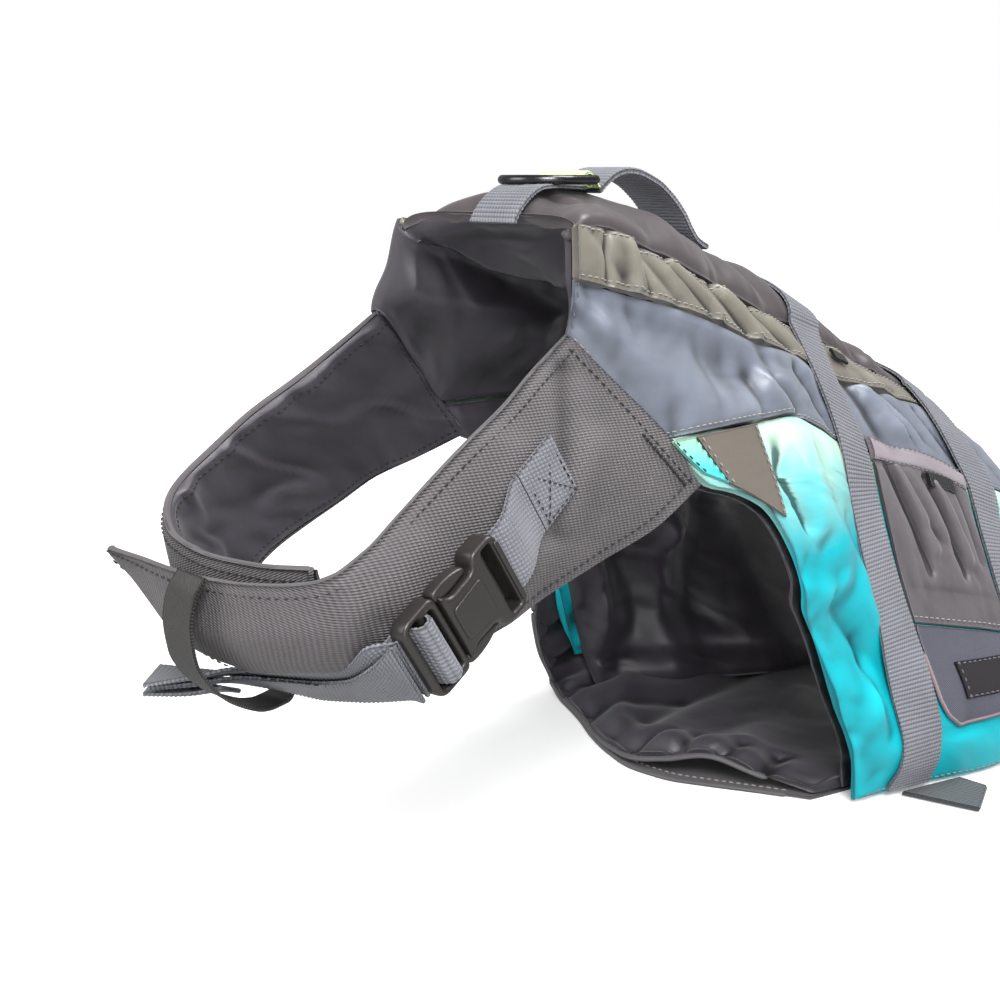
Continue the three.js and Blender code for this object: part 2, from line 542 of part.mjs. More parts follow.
/** Point of the left band that lies behind a given point, moved out from the band. */
function ontoBand(point, out) {
  let s = 3;
  let w = 0.4;
  const step = 0.02;
  for (let i = 0; i < 12; i += 1) {
    const here = leftBand(s, w, 0);
    const ds = leftBand(s + step, w, 0).sub(here).divideScalar(step);
    const dw = leftBand(s, w + step, 0).sub(here).divideScalar(step);
    const ex = point.x - here.x;
    const ez = point.z - here.z;
    const det = ds.x * dw.z - ds.z * dw.x;
    s += (ex * dw.z - ez * dw.x) / det;
    w += (ds.x * ez - ds.z * ex) / det;
  }
  return leftBand(s, w, out);
}

/** Wall that follows a neck band. */
function bandWall(surface, sFrom, sTo, nS, wFrom, wTo, nW, out, thick) {
  const across = steps(wFrom, wTo, nW);
  const build = (offset) => steps(sFrom, sTo, nS).map((s) => across.map((w) => surface(s, w, offset)));
  return wallGeometry(build(out), build(out - thick));
}

/** Neck band halves with their satin linings. */
function buildNeckBands() {
  const leftEnd = LEFT_BAND.length - 1;
  const rightEnd = RIGHT_BAND.length - 1;
  const lining = -(BAND_THICK + LAYER_GAP);
  piece('neck_band_left', bandWall(leftBand, 0, leftEnd, 30, 0, 1, 5, 0, BAND_THICK), '#59555a', 0.75);
  piece('neck_band_right', bandWall(rightBand, 0, rightEnd, 24, 0, 1, 5, 0, BAND_THICK), '#59555a', 0.75);
  const leftLining = bandWall(leftBand, 0.02, leftEnd - 2, 26, 0.02, 0.97, 4, lining, BAND_LINING_THICK);
  const rightLining = bandWall(rightBand, 0.02, rightEnd, 24, 0.02, 0.98, 5, lining, BAND_LINING_THICK);
  piece('band_lining_left', leftLining, '#3a3640', 0.4);
  piece('band_lining_right', rightLining, '#3a3640', 0.4);
}

/** Flat ribbon between two named edge curves, with its thickness to one side. */
function ribbon(table, n, thick) {
  const keys = table.map((_, i) => i);
  const of = Object.fromEntries(['tx', 'ty', 'tz', 'bx', 'by', 'bz']
    .map((name) => [name, monotone(keys, table.map((row) => row[name]))]));
  const edge = (s, w) => new THREE.Vector3(
    of.tx(s) + (of.bx(s) - of.tx(s)) * w,
    of.ty(s) + (of.by(s) - of.ty(s)) * w,
    of.tz(s) + (of.bz(s) - of.tz(s)) * w,
  );
  const build = (offset) => steps(0, table.length - 1, n).map((s) => [0, 0.5, 1].map((w) => {
    const along = edge(s + 0.05, w).sub(edge(s - 0.05, w));
    const across = edge(s, 1).sub(edge(s, 0));
    return edge(s, w).addScaledVector(across.cross(along).normalize(), offset);
  }));
  return wallGeometry(build(0), build(-thick));
}

/** Strip carried along a path: its rows give the middle (x, y, z) and the width. */
function stripXZ(path, thick) {
  const front = [];
  const back = [];
  path.forEach((p, i) => {
    const before = path[Math.max(i - 1, 0)];
    const after = path[Math.min(i + 1, path.length - 1)];
    const normal = new THREE.Vector3(after.z - before.z, 0, before.x - after.x).normalize();
    const edges = [-0.5, 0.5].map((k) => new THREE.Vector3(p.x, p.y + k * p.width, p.z));
    front.push(edges);
    back.push(edges.map((edge) => edge.clone().addScaledVector(normal, thick)));
  });
  return wallGeometry(front, back);
}

/** Chest webbing, its doubled end and the elastic keeper that holds it to the band. */
function buildChest() {
  piece('chest_webbing', ribbon(CHEST_WEBBING, 18, WEBBING_THICK), '#807f88', 0.8);
  piece('chest_tab', ribbon(CHEST_TAB, 6, WEBBING_THICK), '#807f88', 0.8);
  const middle = new THREE.CatmullRomCurve3(KEEPER.map((row) => new THREE.Vector3(row.x, row.y, row.z)));
  const widths = KEEPER.map((row) => row.width);
  const path = middle.getPoints(2 * (KEEPER.length - 1)).map((p, i) => {
    const width = (widths[Math.floor(i / 2)] + widths[Math.ceil(i / 2)]) / 2;
    return { x: p.x, y: p.y, z: p.z, width };
  });
  piece('keeper', stripXZ(path, KEEPER_THICK), '#33302e', 0.85);
}

/** Body strap over the back and down both sides, outside the belly panel on the right. */
function strapGeometry(x0) {
  const beltOut = BELLY_COVER_THICK + BELLY_PAD_THICK * BELLY_SIDE_PAD + BELLY_GAP + 3.1;
  const upper = [...steps(7.9, 3, 16), ...steps(2.6, -2.6, 12)];
  const lines = [...upper, ...steps(-3, -5.4, 8), ...steps(-5.7, -7.15, 6)];
  const lift = (line) => STRAP_LIFT + beltOut * THREE.MathUtils.smoothstep(-line, 5.35, 5.75);
  const build = (extra) => lines.map((line) => [-0.5, 0, 0.5]
    .map((k) => body(x0 + k * WEBBING_WIDTH, line, lift(line) + extra)));
  return wallGeometry(build(WEBBING_THICK), build(0));
}

/** Body straps and the loose end that lies on the floor. */
function buildStraps() {
  piece('strap_front', strapGeometry(STRAP_1_X), '#81818a', 0.8);
  piece('strap_rear', strapGeometry(STRAP_2_X), '#81818a', 0.8);
  const corner = (x, y, z) => new THREE.Vector3(x, y, z);
  const low = [[corner(170, -101, FLOOR_GAP), corner(203, -111, FLOOR_GAP)],
    [corner(166, -112, FLOOR_GAP), corner(197, -120, FLOOR_GAP)],
    [corner(180, -134, FLOOR_GAP), corner(204, -124, FLOOR_GAP)]];
  const high = low.map((row) => row.map((p) => p.clone().setZ(FLOOR_GAP + 2.6)));
  piece('strap_tail', wallGeometry(high, low), '#3d3f44', 0.7);
}

/** Lifting handle, front webbing and its loops on the centre line. */
function buildSpineFittings() {
  const rise = column(HANDLE, 'x', 'lift');
  const from = HANDLE[0].x;
  const to = HANDLE[HANDLE.length - 1].x;
  const path = steps(to, from, 22).map((x) => ({ x, y: 0, z: crestZ(x) + rise(x), width: HANDLE_WIDTH }));
  piece('handle', stripXZ(path, HANDLE_THICK), '#6f7077', 0.8);
  const front = steps(0.8, 44, 10).map((x) => [-0.5, -0.25, 0, 0.25, 0.5].map((k) => [x, k]));
  const build = (out) => front.map((row) => row.map(([x, k]) => {
    const line = (-k * WEBBING_WIDTH) / lineY[0](x);
    return body(x, line, out);
  }));
  piece('front_webbing', wallGeometry(build(FACET_LIFT + WEBBING_THICK), build(FACET_LIFT)), '#888890', 0.8);
}

/** Wall between four corners given by length and line, on one side of the body. */
function patchWall(corners, side, nX, nLine, out, thick, bulge = 0) {
  const [a, b, c, d] = corners;
  const mix = (p, q, t) => ({ x: p.x + (q.x - p.x) * t, line: p.line + (q.line - p.line) * t });
  const build = (offset, puff) => steps(0, 1, nX).map((u) => steps(0, 1, nLine).map((v) => {
    const place = mix(mix(a, b, u), mix(d, c, u), v);
    const swell = puff * Math.sin(Math.PI * u) * Math.sin(Math.PI * Math.min(v + 0.12, 1));
    return body(place.x, place.line * side, offset + swell);
  }));
  return wallGeometry(build(out + thick, bulge), build(out, bulge));
}

/** Printed corner patches on both sides, and the pocket on the left side. */
function buildPatches() {
  for (const [side, label] of [[1, 'left'], [-1, 'right']]) {
    piece(`patch_taupe_${label}`, patchWall(TAUPE_PATCH, side, 4, 5, LAYER_GAP, PATCH_THICK), '#726a61', 0.5);
    piece(`patch_mint_${label}`, patchWall(MINT_PATCH, side, 2, 3, LAYER_GAP, PATCH_THICK), '#8fe0cf', 0.5);
  }
  const field = (top, low, from = POCKET.frontX, to = POCKET.rearX) => [
    { x: from, line: top[0] }, { x: to, line: top[1] }, { x: to, line: low[1] }, { x: from, line: low[0] },
  ];
  const bind = field(POCKET.bindTop, POCKET.bindLow);
  piece('pocket_binding', patchWall(bind, 1, 6, 1, LAYER_GAP, 2.2), '#8b8087', 0.7);
  const pouch = field(POCKET.pouchTop, POCKET.pouchLow);
  piece('pocket_pouch', patchWall(pouch, 1, 10, 8, POCKET_LIFT, PATCH_THICK, POCKET.puff), '#5f5a5f', 0.5);
  const front = column(LOWER_FRONT, 'line', 'x');
  const lower = (out) => steps(0, 1, 4).map((t) => steps(0, 1, 6).map((u) => {
    const top = POCKET.lowerTop[0] * (1 - u) + POCKET.lowerTop[1] * u;
    const line = top * (1 - t) + POCKET.lowerLow * t;
    const start = front(POCKET.lowerTop[0] * (1 - t) + POCKET.lowerLow * t);
    return body(start + (POCKET.rearX - start) * u, line, out);
  }));
  const lowerWall = wallGeometry(lower(POCKET_LIFT + PATCH_THICK), lower(POCKET_LIFT));
  piece('pocket_lower_panel', lowerWall, '#4b4a57', 0.6);
  const label = field(LABEL.top, LABEL.low, LABEL.frontX, LABEL.rearX);
  const onPanel = POCKET_LIFT + PATCH_THICK + SEAM_GAP;
  piece('label_patch', patchWall(label, 1, 4, 2, onPanel, PATCH_THICK), '#2c2b2e', 0.6);
  const tab = field(PULL_TAB.top, PULL_TAB.low, PULL_TAB.frontX, PULL_TAB.rearX);
  piece('pocket_tab', patchWall(tab, 1, 2, 2, onPanel + POCKET.puff * 0.66, 1.4), '#1f1e20', 0.5);
}

/** Frame of the chest buckle: along it, across it, out from the band. */
function buckleMatrix() {
  const along = new THREE.Vector3(BUCKLE_DIR.x, BUCKLE_DIR.y, BUCKLE_DIR.z).normalize();
  const out = new THREE.Vector3(-0.08, -1, 0.02).normalize();
  const across = out.clone().cross(along).normalize();
  const normal = along.clone().cross(across).normalize();
  return new THREE.Matrix4().makeBasis(along, across, normal)
    .setPosition(BUCKLE.x, BUCKLE.y, BUCKLE.z);
}

/** Flat moulded piece of the buckle from an outline and its slots. */
function moulding(outline, slots) {
  const shape = new THREE.Shape(outline.map(([x, y]) => new THREE.Vector2(x, y)));
  for (const [x0, x1, halfWidth] of slots) {
    const hole = [[x0, -halfWidth], [x0, halfWidth], [x1, halfWidth], [x1, -halfWidth]];
    shape.holes.push(new THREE.Path(hole.map(([x, y]) => new THREE.Vector2(x, y))));
  }
  const geometry = new THREE.ExtrudeGeometry(shape, { depth: BUCKLE.thick, bevelEnabled: false });
  geometry.translate(0, 0, -BUCKLE.thick / 2);
  return geometry.applyMatrix4(buckleMatrix());
}

/** Side release buckle, fastened, with the webbing that leads to it. */
function buildBuckle() {
  const half = BUCKLE.length / 2;
  const w = BUCKLE.width / 2;
  const core = w - 6;
  const female = [[-half, 2 - w], [3 - half, -w], [-12, -w], [-10, -core], [6, -core], [6, core], [-10, core],
    [-12, w], [3 - half, w], [-half, w - 2]];
  const gap = 2 * SEAM_GAP;
  const male = [
    [half, 2 - w], [half, w - 2], [half - 3, w], [-7, w], [gap - 10, w - 3], [gap - 10, core + gap],
    [6 + gap, core + gap], [6 + gap, -core - gap], [gap - 10, -core - gap], [gap - 10, 3 - w], [-7, -w],
    [half - 3, -w]];
  const slot = WEBBING_WIDTH / 2 + 0.8;
  piece('buckle_female', moulding(female, [[3.5 - half, 8.5 - half, slot]]), '#262321', 0.35);
  const maleSlots = [[half - 7.5, half - 3.4, slot], [half - 14.5, half - 10, slot - 0.6]];
  piece('buckle_male', moulding(male, maleSlots), '#262321', 0.35);
  const frame = buckleMatrix();
  const fromBuckle = (x, y, z) => new THREE.Vector3(x, y, z).applyMatrix4(frame);
  const across = [-0.5, -0.25, 0, 0.25, 0.5].map((k) => k * WEBBING_WIDTH);
  const sewn = (out) => steps(SEWN_END.low, SEWN_END.high, 4).map((up) => across
    .map((y) => ontoBand(fromBuckle(-half - up, y, 0), FACET_LIFT + out)));
  const lead = (out) => steps(0, 1, 8).map((u) => across.map((y) => {
    const up = SEAM_GAP + (SEWN_END.low - 2 * SEAM_GAP) * (1 - u);
    const low = ontoBand(fromBuckle(-half - up, y, 0), FACET_LIFT + out);
    const high = fromBuckle(-half - up, y, out - WEBBING_THICK / 2);
    return low.lerp(high, THREE.MathUtils.smoothstep(u, 0, 0.85));
  }));
  piece('webbing_sewn_end', wallGeometry(sewn(WEBBING_THICK), sewn(0)), '#8a8a92', 0.8);
  piece('webbing_lead', wallGeometry(lead(WEBBING_THICK), lead(0)), '#8a8a92', 0.8);
}

/** D ring: a flat oval bow with its straight bar, one closed tube. */
function buildRing() {
  const path = [];
  const bow = 20;
  const reach = RING.length - RING.halfWidth;
  path.push([0, -RING.halfWidth], [0, 0], [0, RING.halfWidth]);
  for (let i = 0; i <= bow; i += 1) {
    const a = Math.PI / 2 + (Math.PI * i) / bow;
    path.push([-reach + RING.halfWidth * Math.cos(a) * 0.98, RING.halfWidth * Math.sin(a)]);
  }
  const count = path.length;
  const r = RING.wire / 2;
  const rings = path.map(([x, y], i) => {
    const before = path[(i + count - 1) % count];
    const after = path[(i + 1) % count];
    const dir = new THREE.Vector2(after[0] - before[0], after[1] - before[1]).normalize();
    return Array.from({ length: 8 }, (_, k) => {
      const a = (Math.PI * 2 * k) / 8;
      const side = r * Math.cos(a);
      return new THREE.Vector3(RING.barX + x + dir.y * side, y - dir.x * side, RING.z + r * Math.sin(a));
    });
  });
  const positions = rings.flat().flatMap((p) => [p.x, p.y, p.z]);
  const faces = [];
  for (let i = 0; i < count; i += 1) {
    for (let k = 0; k < 8; k += 1) {
      const a = i * 8 + k;
      const b = i * 8 + ((k + 1) % 8);
      const c = ((i + 1) % count) * 8 + ((k + 1) % 8);
      const d = ((i + 1) % count) * 8 + k;
      faces.push(a, b, c, a, c, d);
    }
  }
  piece('d_ring', closedGeometry(positions, faces), '#4a4a4d', 0.35, 0.9);
}

/** Webbing loop round the ring's bar. */
function buildRingTab() {
  const inner = RING.wire / 2 + 0.35;
  const outer = inner + 1.5;
  const foot = crestZ(RING.barX + 2) + 2.4;
  const shape = (r, tail) => {
    const points = [new THREE.Vector3(RING.barX + 6, 0, foot + tail)];
    for (const deg of [70, 100, 135, 170, 205, 240, 270, 300]) {
      const a = THREE.MathUtils.degToRad(deg);
      points.push(new THREE.Vector3(RING.barX + r * Math.cos(a), 0, RING.z + r * Math.sin(a)));
    }
    return points;
  };
  const width = 2 * RING.halfWidth - RING.wire - 5;
  const spread = (points) => points.map((p) => [-0.5, 0.5].map((k) => p.clone().setY(k * width)));
  piece('ring_loop', wallGeometry(spread(shape(outer, 1.9)), spread(shape(inner, 0.4))), '#d9f0a8', 0.8);
}

buildBack();
buildWings();
buildBelly();
buildNeckBands();
buildChest();
buildPatches();
buildBuckle();
buildStraps();
buildSpineFittings();
buildRing();
buildRingTab();

export default group;
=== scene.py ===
"""Dog life jacket lying on a surface, filled out as if worn, with its neck band clipped at the chest.

Lengths in the tables are millimetres along X from the front of the spine pad, Y to the right, Z up.
Every panel follows one body surface, given by lines that run from neck to tail.
"""

import logging
import math
from collections.abc import Callable, Sequence
from dataclasses import dataclass, field
from enum import Enum

import bpy
import numpy as np
from mathutils import Matrix, Vector


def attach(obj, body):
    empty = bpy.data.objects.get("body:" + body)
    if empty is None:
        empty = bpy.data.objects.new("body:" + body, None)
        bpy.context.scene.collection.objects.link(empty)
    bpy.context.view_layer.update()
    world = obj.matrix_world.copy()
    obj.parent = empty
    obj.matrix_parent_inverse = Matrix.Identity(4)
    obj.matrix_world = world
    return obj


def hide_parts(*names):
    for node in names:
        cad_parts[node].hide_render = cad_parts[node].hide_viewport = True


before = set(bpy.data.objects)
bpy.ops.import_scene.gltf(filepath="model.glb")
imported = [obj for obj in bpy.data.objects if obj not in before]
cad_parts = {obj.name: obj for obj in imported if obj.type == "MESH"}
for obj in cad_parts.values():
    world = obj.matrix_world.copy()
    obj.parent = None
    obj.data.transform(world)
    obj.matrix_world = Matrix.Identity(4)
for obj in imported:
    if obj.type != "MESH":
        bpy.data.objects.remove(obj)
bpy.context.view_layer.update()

log = logging.getLogger("life_jacket")
Array = np.ndarray

MM = 0.001
ORIGIN = np.array([205.0, 0.0, 0.0])
WEBBING_WIDTH = 25.0
WEBBING_THICK = 1.6
RIB_PITCH = 1.9
STRAP_1_X = 175.0
STRAP_2_X = 268.0
BELLY_REAR_X = 298.0
FOOT_Z = 1.2

# Body sections from neck to tail: half widths (y) and heights (z) of each line
SECTION_COLUMNS = (
    "x", "crest", "seamY", "seamZ", "stripY", "stripZ", "yokeY", "yokeZ", "ribY", "ribZ",
    "waistY", "waistZ", "flareY", "flareZ", "hipY", "hipZ", "footY",
)
SECTIONS = (
    (0, 269, 50.5, 263.5, 51, 243, 47, 222, 70, 172, 80, 120, 84, 72, 80, 30, 76),
    (18, 273.5, 48.5, 261, 51.5, 239, 56.5, 201, 75, 158, 84, 116, 85, 72, 81, 30, 76),
    (38, 273, 45.5, 254.5, 51.5, 234.5, 65.6, 181, 80, 146, 87, 112, 87, 72, 83, 30, 77),
    (60, 270, 42, 248, 52, 229, 67, 181.5, 82.5, 145, 88, 110, 88, 72, 84, 30, 78),
    (115, 252, 36, 229, 50, 211, 64, 181, 81, 138, 87, 108, 88, 72, 87, 30, 82),
    (145, 240.5, 32.5, 218.5, 46, 203, 61, 172, 74, 136, 81.5, 108, 90, 72, 95, 30, 90),
    (175, 228.5, 28.5, 209, 42, 191, 59, 158, 66, 134, 75, 108, 89, 72, 104, 30, 98),
    (230, 205, 30, 187, 45, 176, 65, 146, 74, 124, 82, 103, 97, 70, 118, 30, 116),
    (270, 187, 30, 172, 44, 163, 73, 130, 80, 111, 88, 95, 101, 66, 121, 30, 119),
    (332, 153, 29, 141, 44, 133, 76, 108, 83, 94, 90, 82, 102, 60, 119, 30, 118),
)
# How much further out the right side stands than the left one, by line
LEAN_COLUMNS = ("x", "seam", "strip", "yoke", "rib", "waist", "flare", "hip", "foot")
RIGHT_LEAN = (
    (0, 0, 9.5, 24.5, 0, 0, 0, 0, 0),
    (38, 0, 5, 10, 0, 0, 0, 0, 0),
    (80, 0, 2, 3, 0, 0, 0, 0, 0),
    (115, 0, 0, 0, 0, 0, 0, 0, 2),
    (145, 0, 0, 0, 0, 0, 0, -3, -1),
    (175, 0, 0, 0, 0, -1, -6, -22, -25),
    (230, 0, 0, 0, -3, -9, -29, -65, -75),
    (270, 0, -1, -5, -12, -22, -46, -86, -101),
    (332, 0, -1, -6, -15, -26, -50, -92, -108),
)
LINES = ("seam", "strip", "yoke", "rib", "waist", "flare", "hip")
# Front outline of the side panels (line, x) and rear outline of the whole back (line, x)
LEG_EDGE = ((3, 38.6), (3.5, 51), (3.62, 66), (3.85, 85), (4.36, 98), (5.05, 106), (5.7, 116),
            (6.4, 128), (6.9, 137), (8, 147))
REAR_EDGE = ((0, 330), (1, 327), (2, 321), (3, 318), (5, 318), (7, 311), (8, 305))
BELLY_FLOOR_FRONT = ((-95, 146), (-67, 129), (-39, 113), (-20, 104), (3, 101), (35, 110), (75, 131),
                     (96, 139), (125, 140))
BELLY_SIDE = ((7.15, 131), (6.85, 127), (6.5, 124), (6.15, 126), (5.88, 140))

# Neck band edges from the shoulder seam to the free end: upper edge, lower edge, outward swell
BAND_COLUMNS = ("ux", "uy", "uz", "lx", "ly", "lz", "belly")
LEFT_BAND = (
    (-1.2, -46.6, 220.6, 48.6, -72.4, 163.2, 1), (-22, -53, 212, 24, -70, 149, 3),
    (-44, -59, 201, -4, -67, 140, 4), (-63, -62, 192, -30, -68, 134, 5),
    (-82, -66, 183, -57, -71, 128, 6), (-100, -70, 174, -82, -73, 122, 7),
    (-114, -73, 167, -99, -70, 119, 8), (-124, -73, 162, -109, -61, 117, 9),
    (-131, -70, 159, -115, -49, 116, 10), (-136, -62, 157, -119, -38, 115.5, 10),
    (-140, -49, 155, -124, -26, 115, 10), (-143, -32, 153, -128, -12, 116, 9),
    (-146, -11, 152, -131, 3, 119, 8), (-147, 10, 152, -135, 14, 128, 5),
    (-147, 26, 151.5, -141, 24, 140, 2), (-147, 38, 151, -146, 36, 148, 0),
)
RIGHT_BAND = (
    (-1.2, 71.6, 220.6, 48.6, 75, 162.2, 1), (-20, 68, 212, 30, 79, 155.5, 3),
    (-43, 65, 201, 8, 80, 150, 4), (-69, 63, 189, -20, 74, 142, 5),
    (-91, 58, 178, -50, 66, 134, 6), (-108, 52, 170, -76, 53, 128, 6),
    (-121, 42, 164, -94, 40, 121, 6), (-130, 27, 159, -107, 26, 117, 6),
    (-134, 14, 157, -114, 12, 114, 6), (-136, -9, 156, -117, -8, 112.5, 6),
    (-133, -36, 157, -112, -29, 112, 6), (-127, -57, 159, -104, -46, 113, 6),
)
# Chest webbing and its folded end: top edge, then bottom edge
CHEST_WEBBING = (
    (-117.6, -86, 138.6, -105.8, -87, 118.4), (-118.5, -77, 130, -101, -73, 113.5),
    (-117.5, -62, 120.8, -103, -49, 106.5), (-120, -43, 115.8, -106, -28, 102.5),
    (-124, -29, 113.8, -109, -14, 102), (-129, -16, 112.2, -113, -1, 101.5),
    (-138, -1, 108, -120, 13, 102), (-147, 14, 104.5, -131, 31, 103),
)
CHEST_TAB = (
    (-131, -9, 107.2, -115, 5, 97.6), (-138, 2, 103.6, -121, 16, 98.4),
    (-147.5, 17, 101.5, -131, 34, 100),
)
# Elastic keeper: middle of the strip and its width
KEEPER = (
    (-146.6, -21.5, 154.6, 17), (-151.2, -21.5, 148, 17), (-153, -21.5, 139, 17),
    (-151.4, -21, 128, 17), (-147, -20, 120, 17), (-139.8, -19.5, 112, 15),
    (-130.5, -17.5, 105.8, 15), (-122, -14.5, 101.6, 14), (-114.5, -11, 99.6, 13),
    (-108.5, -9, 99.4, 13), (-104, -7, 102, 13),
)
# Lifting handle: height above the crest of the back, by length
HANDLE = ((54, 1.6), (58, 5.5), (64, 10), (71, 13), (80, 14.4), (89, 14.2), (98, 12),
          (106, 8), (112, 3.6), (117, 1.6), (124, 1.6))
BUCKLE_AT = (-88.0, -84.5, 143.0)
BUCKLE_LENGTH = 48.0
BUCKLE_WIDTH = 31.0
BUCKLE_ALONG = (-0.86, -0.08, -0.5)
BUCKLE_OUT = (-0.08, -1.0, 0.02)
SEWN_END = (28.5, 51.0)
RING_BAR = (46.0, 0.0, 278.2)
RING_LENGTH = 30.0
RING_HALF_WIDTH = 17.0
RING_WIRE = 3.8


# ---------------------------------------------------------------- curves and surfaces


def tangents(x: Array, y: Array) -> Array:
    """Tangents of the monotone cubic: the weighted harmonic mean of the two slopes at each point.

    Args:
        x: Positions, increasing.
        y: Values at them, in the last axis.

    Returns:
        One tangent for each value.
    """
    h = np.diff(x)
    slope = np.diff(y, axis=-1) / h
    w0 = 2 * h[1:] + h[:-1]
    w1 = h[1:] + 2 * h[:-1]
    a, b = slope[..., :-1], slope[..., 1:]
    same = a * b > 0
    inner = np.where(same, (w0 + w1) / (w0 / np.where(same, a, 1) + w1 / np.where(same, b, 1)), 0)
    return np.concatenate([slope[..., :1], inner, slope[..., -1:]], axis=-1)


def hermite(x: Array, y: Array, q: Array) -> Array:
    """Monotone cubic through (x, y) at q, straight beyond both ends.

    Args:
        x: Positions, increasing.
        y: Values, one row for all of q or one row for each of q.
        q: Where the curve is read.

    Returns:
        The values at q.
    """
    t = tangents(x, y)
    i = np.clip(np.searchsorted(x, q, side="right") - 1, 0, len(x) - 2)

    def pick(values: Array, k: Array) -> Array:
        return values[k] if values.ndim == 1 else np.take_along_axis(values, k[:, None], 1)[:, 0]

    h = x[i + 1] - x[i]
    raw = (q - x[i]) / h
    u = np.clip(raw, 0, 1)
    y0, y1, t0, t1 = pick(y, i), pick(y, i + 1), pick(t, i), pick(t, i + 1)
    inside = ((2 * u**3 - 3 * u**2 + 1) * y0 + (u**3 - 2 * u**2 + u) * h * t0
              + (3 * u**2 - 2 * u**3) * y1 + (u**3 - u**2) * h * t1)
    return inside + np.where(raw < 0, raw, 0) * h * t0 + np.where(raw > 1, raw - 1, 0) * h * t1


def curve(pairs: Sequence[Sequence[float]], key: int = 0, value: int = 1) -> Callable[[Array], Array]:
    """Monotone cubic through two columns of a table."""
    table = np.asarray(pairs, float)
    xs, ys = table[:, key], table[:, value]
    return lambda q: hermite(xs, ys, np.ravel(np.asarray(q, float))).reshape(np.shape(q))


def unit(v: Array) -> Array:
    """Vectors of the last axis at length one."""
    return v / np.maximum(np.linalg.norm(v, axis=-1, keepdims=True), 1e-9)


def smooth(t: Array) -> Array:
    """0 below 0, 1 above 1 and a soft step between."""
    t = np.clip(t, 0, 1)
    return t * t * (3 - 2 * t)


class Noise:
    """Seeded value noise on a repeating grid of 64 by 64 numbers."""

    def __init__(self, seed: int) -> None:
        self.table = np.random.default_rng(seed).uniform(-1, 1, (64, 64))

    def __call__(self, u: Array, v: Array) -> Array:
        """Smoothly mixed grid numbers at (u, v), from -1 to 1."""
        u, v = np.broadcast_arrays(np.asarray(u, float), np.asarray(v, float))
        i, j = np.floor(u).astype(int), np.floor(v).astype(int)
        a, b = smooth(u - i), smooth(v - j)
        t = self.table
        low = t[i % 64, j % 64] * (1 - a) + t[(i + 1) % 64, j % 64] * a
        high = t[i % 64, (j + 1) % 64] * (1 - a) + t[(i + 1) % 64, (j + 1) % 64] * a
        return low * (1 - b) + high * b

    def soft(self, u: Array, v: Array) -> Array:
        """Two octaves of the noise."""
        return self(u, v) * 0.7 + self(u * 2.1 + 7.3, v * 2.1 + 3.1) * 0.3


@dataclass(frozen=True)
class Crease:
    """A soft trough (depth below zero) or ridge from one place to another on a surface."""

    x1: float
    v1: float
    x2: float
    v2: float
    depth: float
    width: float
    pitch: float = 26.0

    def height(self, x: Array, v: Array) -> Array:
        """depth * exp(-(d / width)^2), with d the distance to the crease, v counted in pitches."""
        dx, dv = self.x2 - self.x1, (self.v2 - self.v1) * self.pitch
        px, pv = x - self.x1, (v - self.v1) * self.pitch
        t = np.clip((px * dx + pv * dv) / max(dx * dx + dv * dv, 1e-6), 0, 1)
        away = np.hypot(px - t * dx, pv - t * dv)
        return self.depth * np.exp(-((away / self.width) ** 2))


def creases(rows: Sequence[Sequence[float]], x: Array, v: Array) -> Array:
    """Sum of the heights of a table of creases."""
    return sum((Crease(*row).height(x, v) for row in rows), np.zeros(np.broadcast(x, v).shape))


# The same large folds as the solids have
BODY_FOLDS = (
    (112, 5.2, 150, 5.9, -3.2, 7), (140, 5.3, 168, 6.6, -3.0, 8), (150, 6.5, 170, 7.4, 2.6, 8),
    (108, 3.6, 140, 4.6, 2.0, 9), (205, 7.0, 250, 7.4, -2.2, 8), (240, 2.2, 262, 2.9, -2.0, 8),
    (192, 2.1, 206, 2.9, -2.0, 7), (286, 4.0, 305, 6.4, -2.4, 9), (150, 0.3, 182, 0.9, 1.8, 8),
    (300, 0.2, 318, 0.9, -2.0, 8),
)


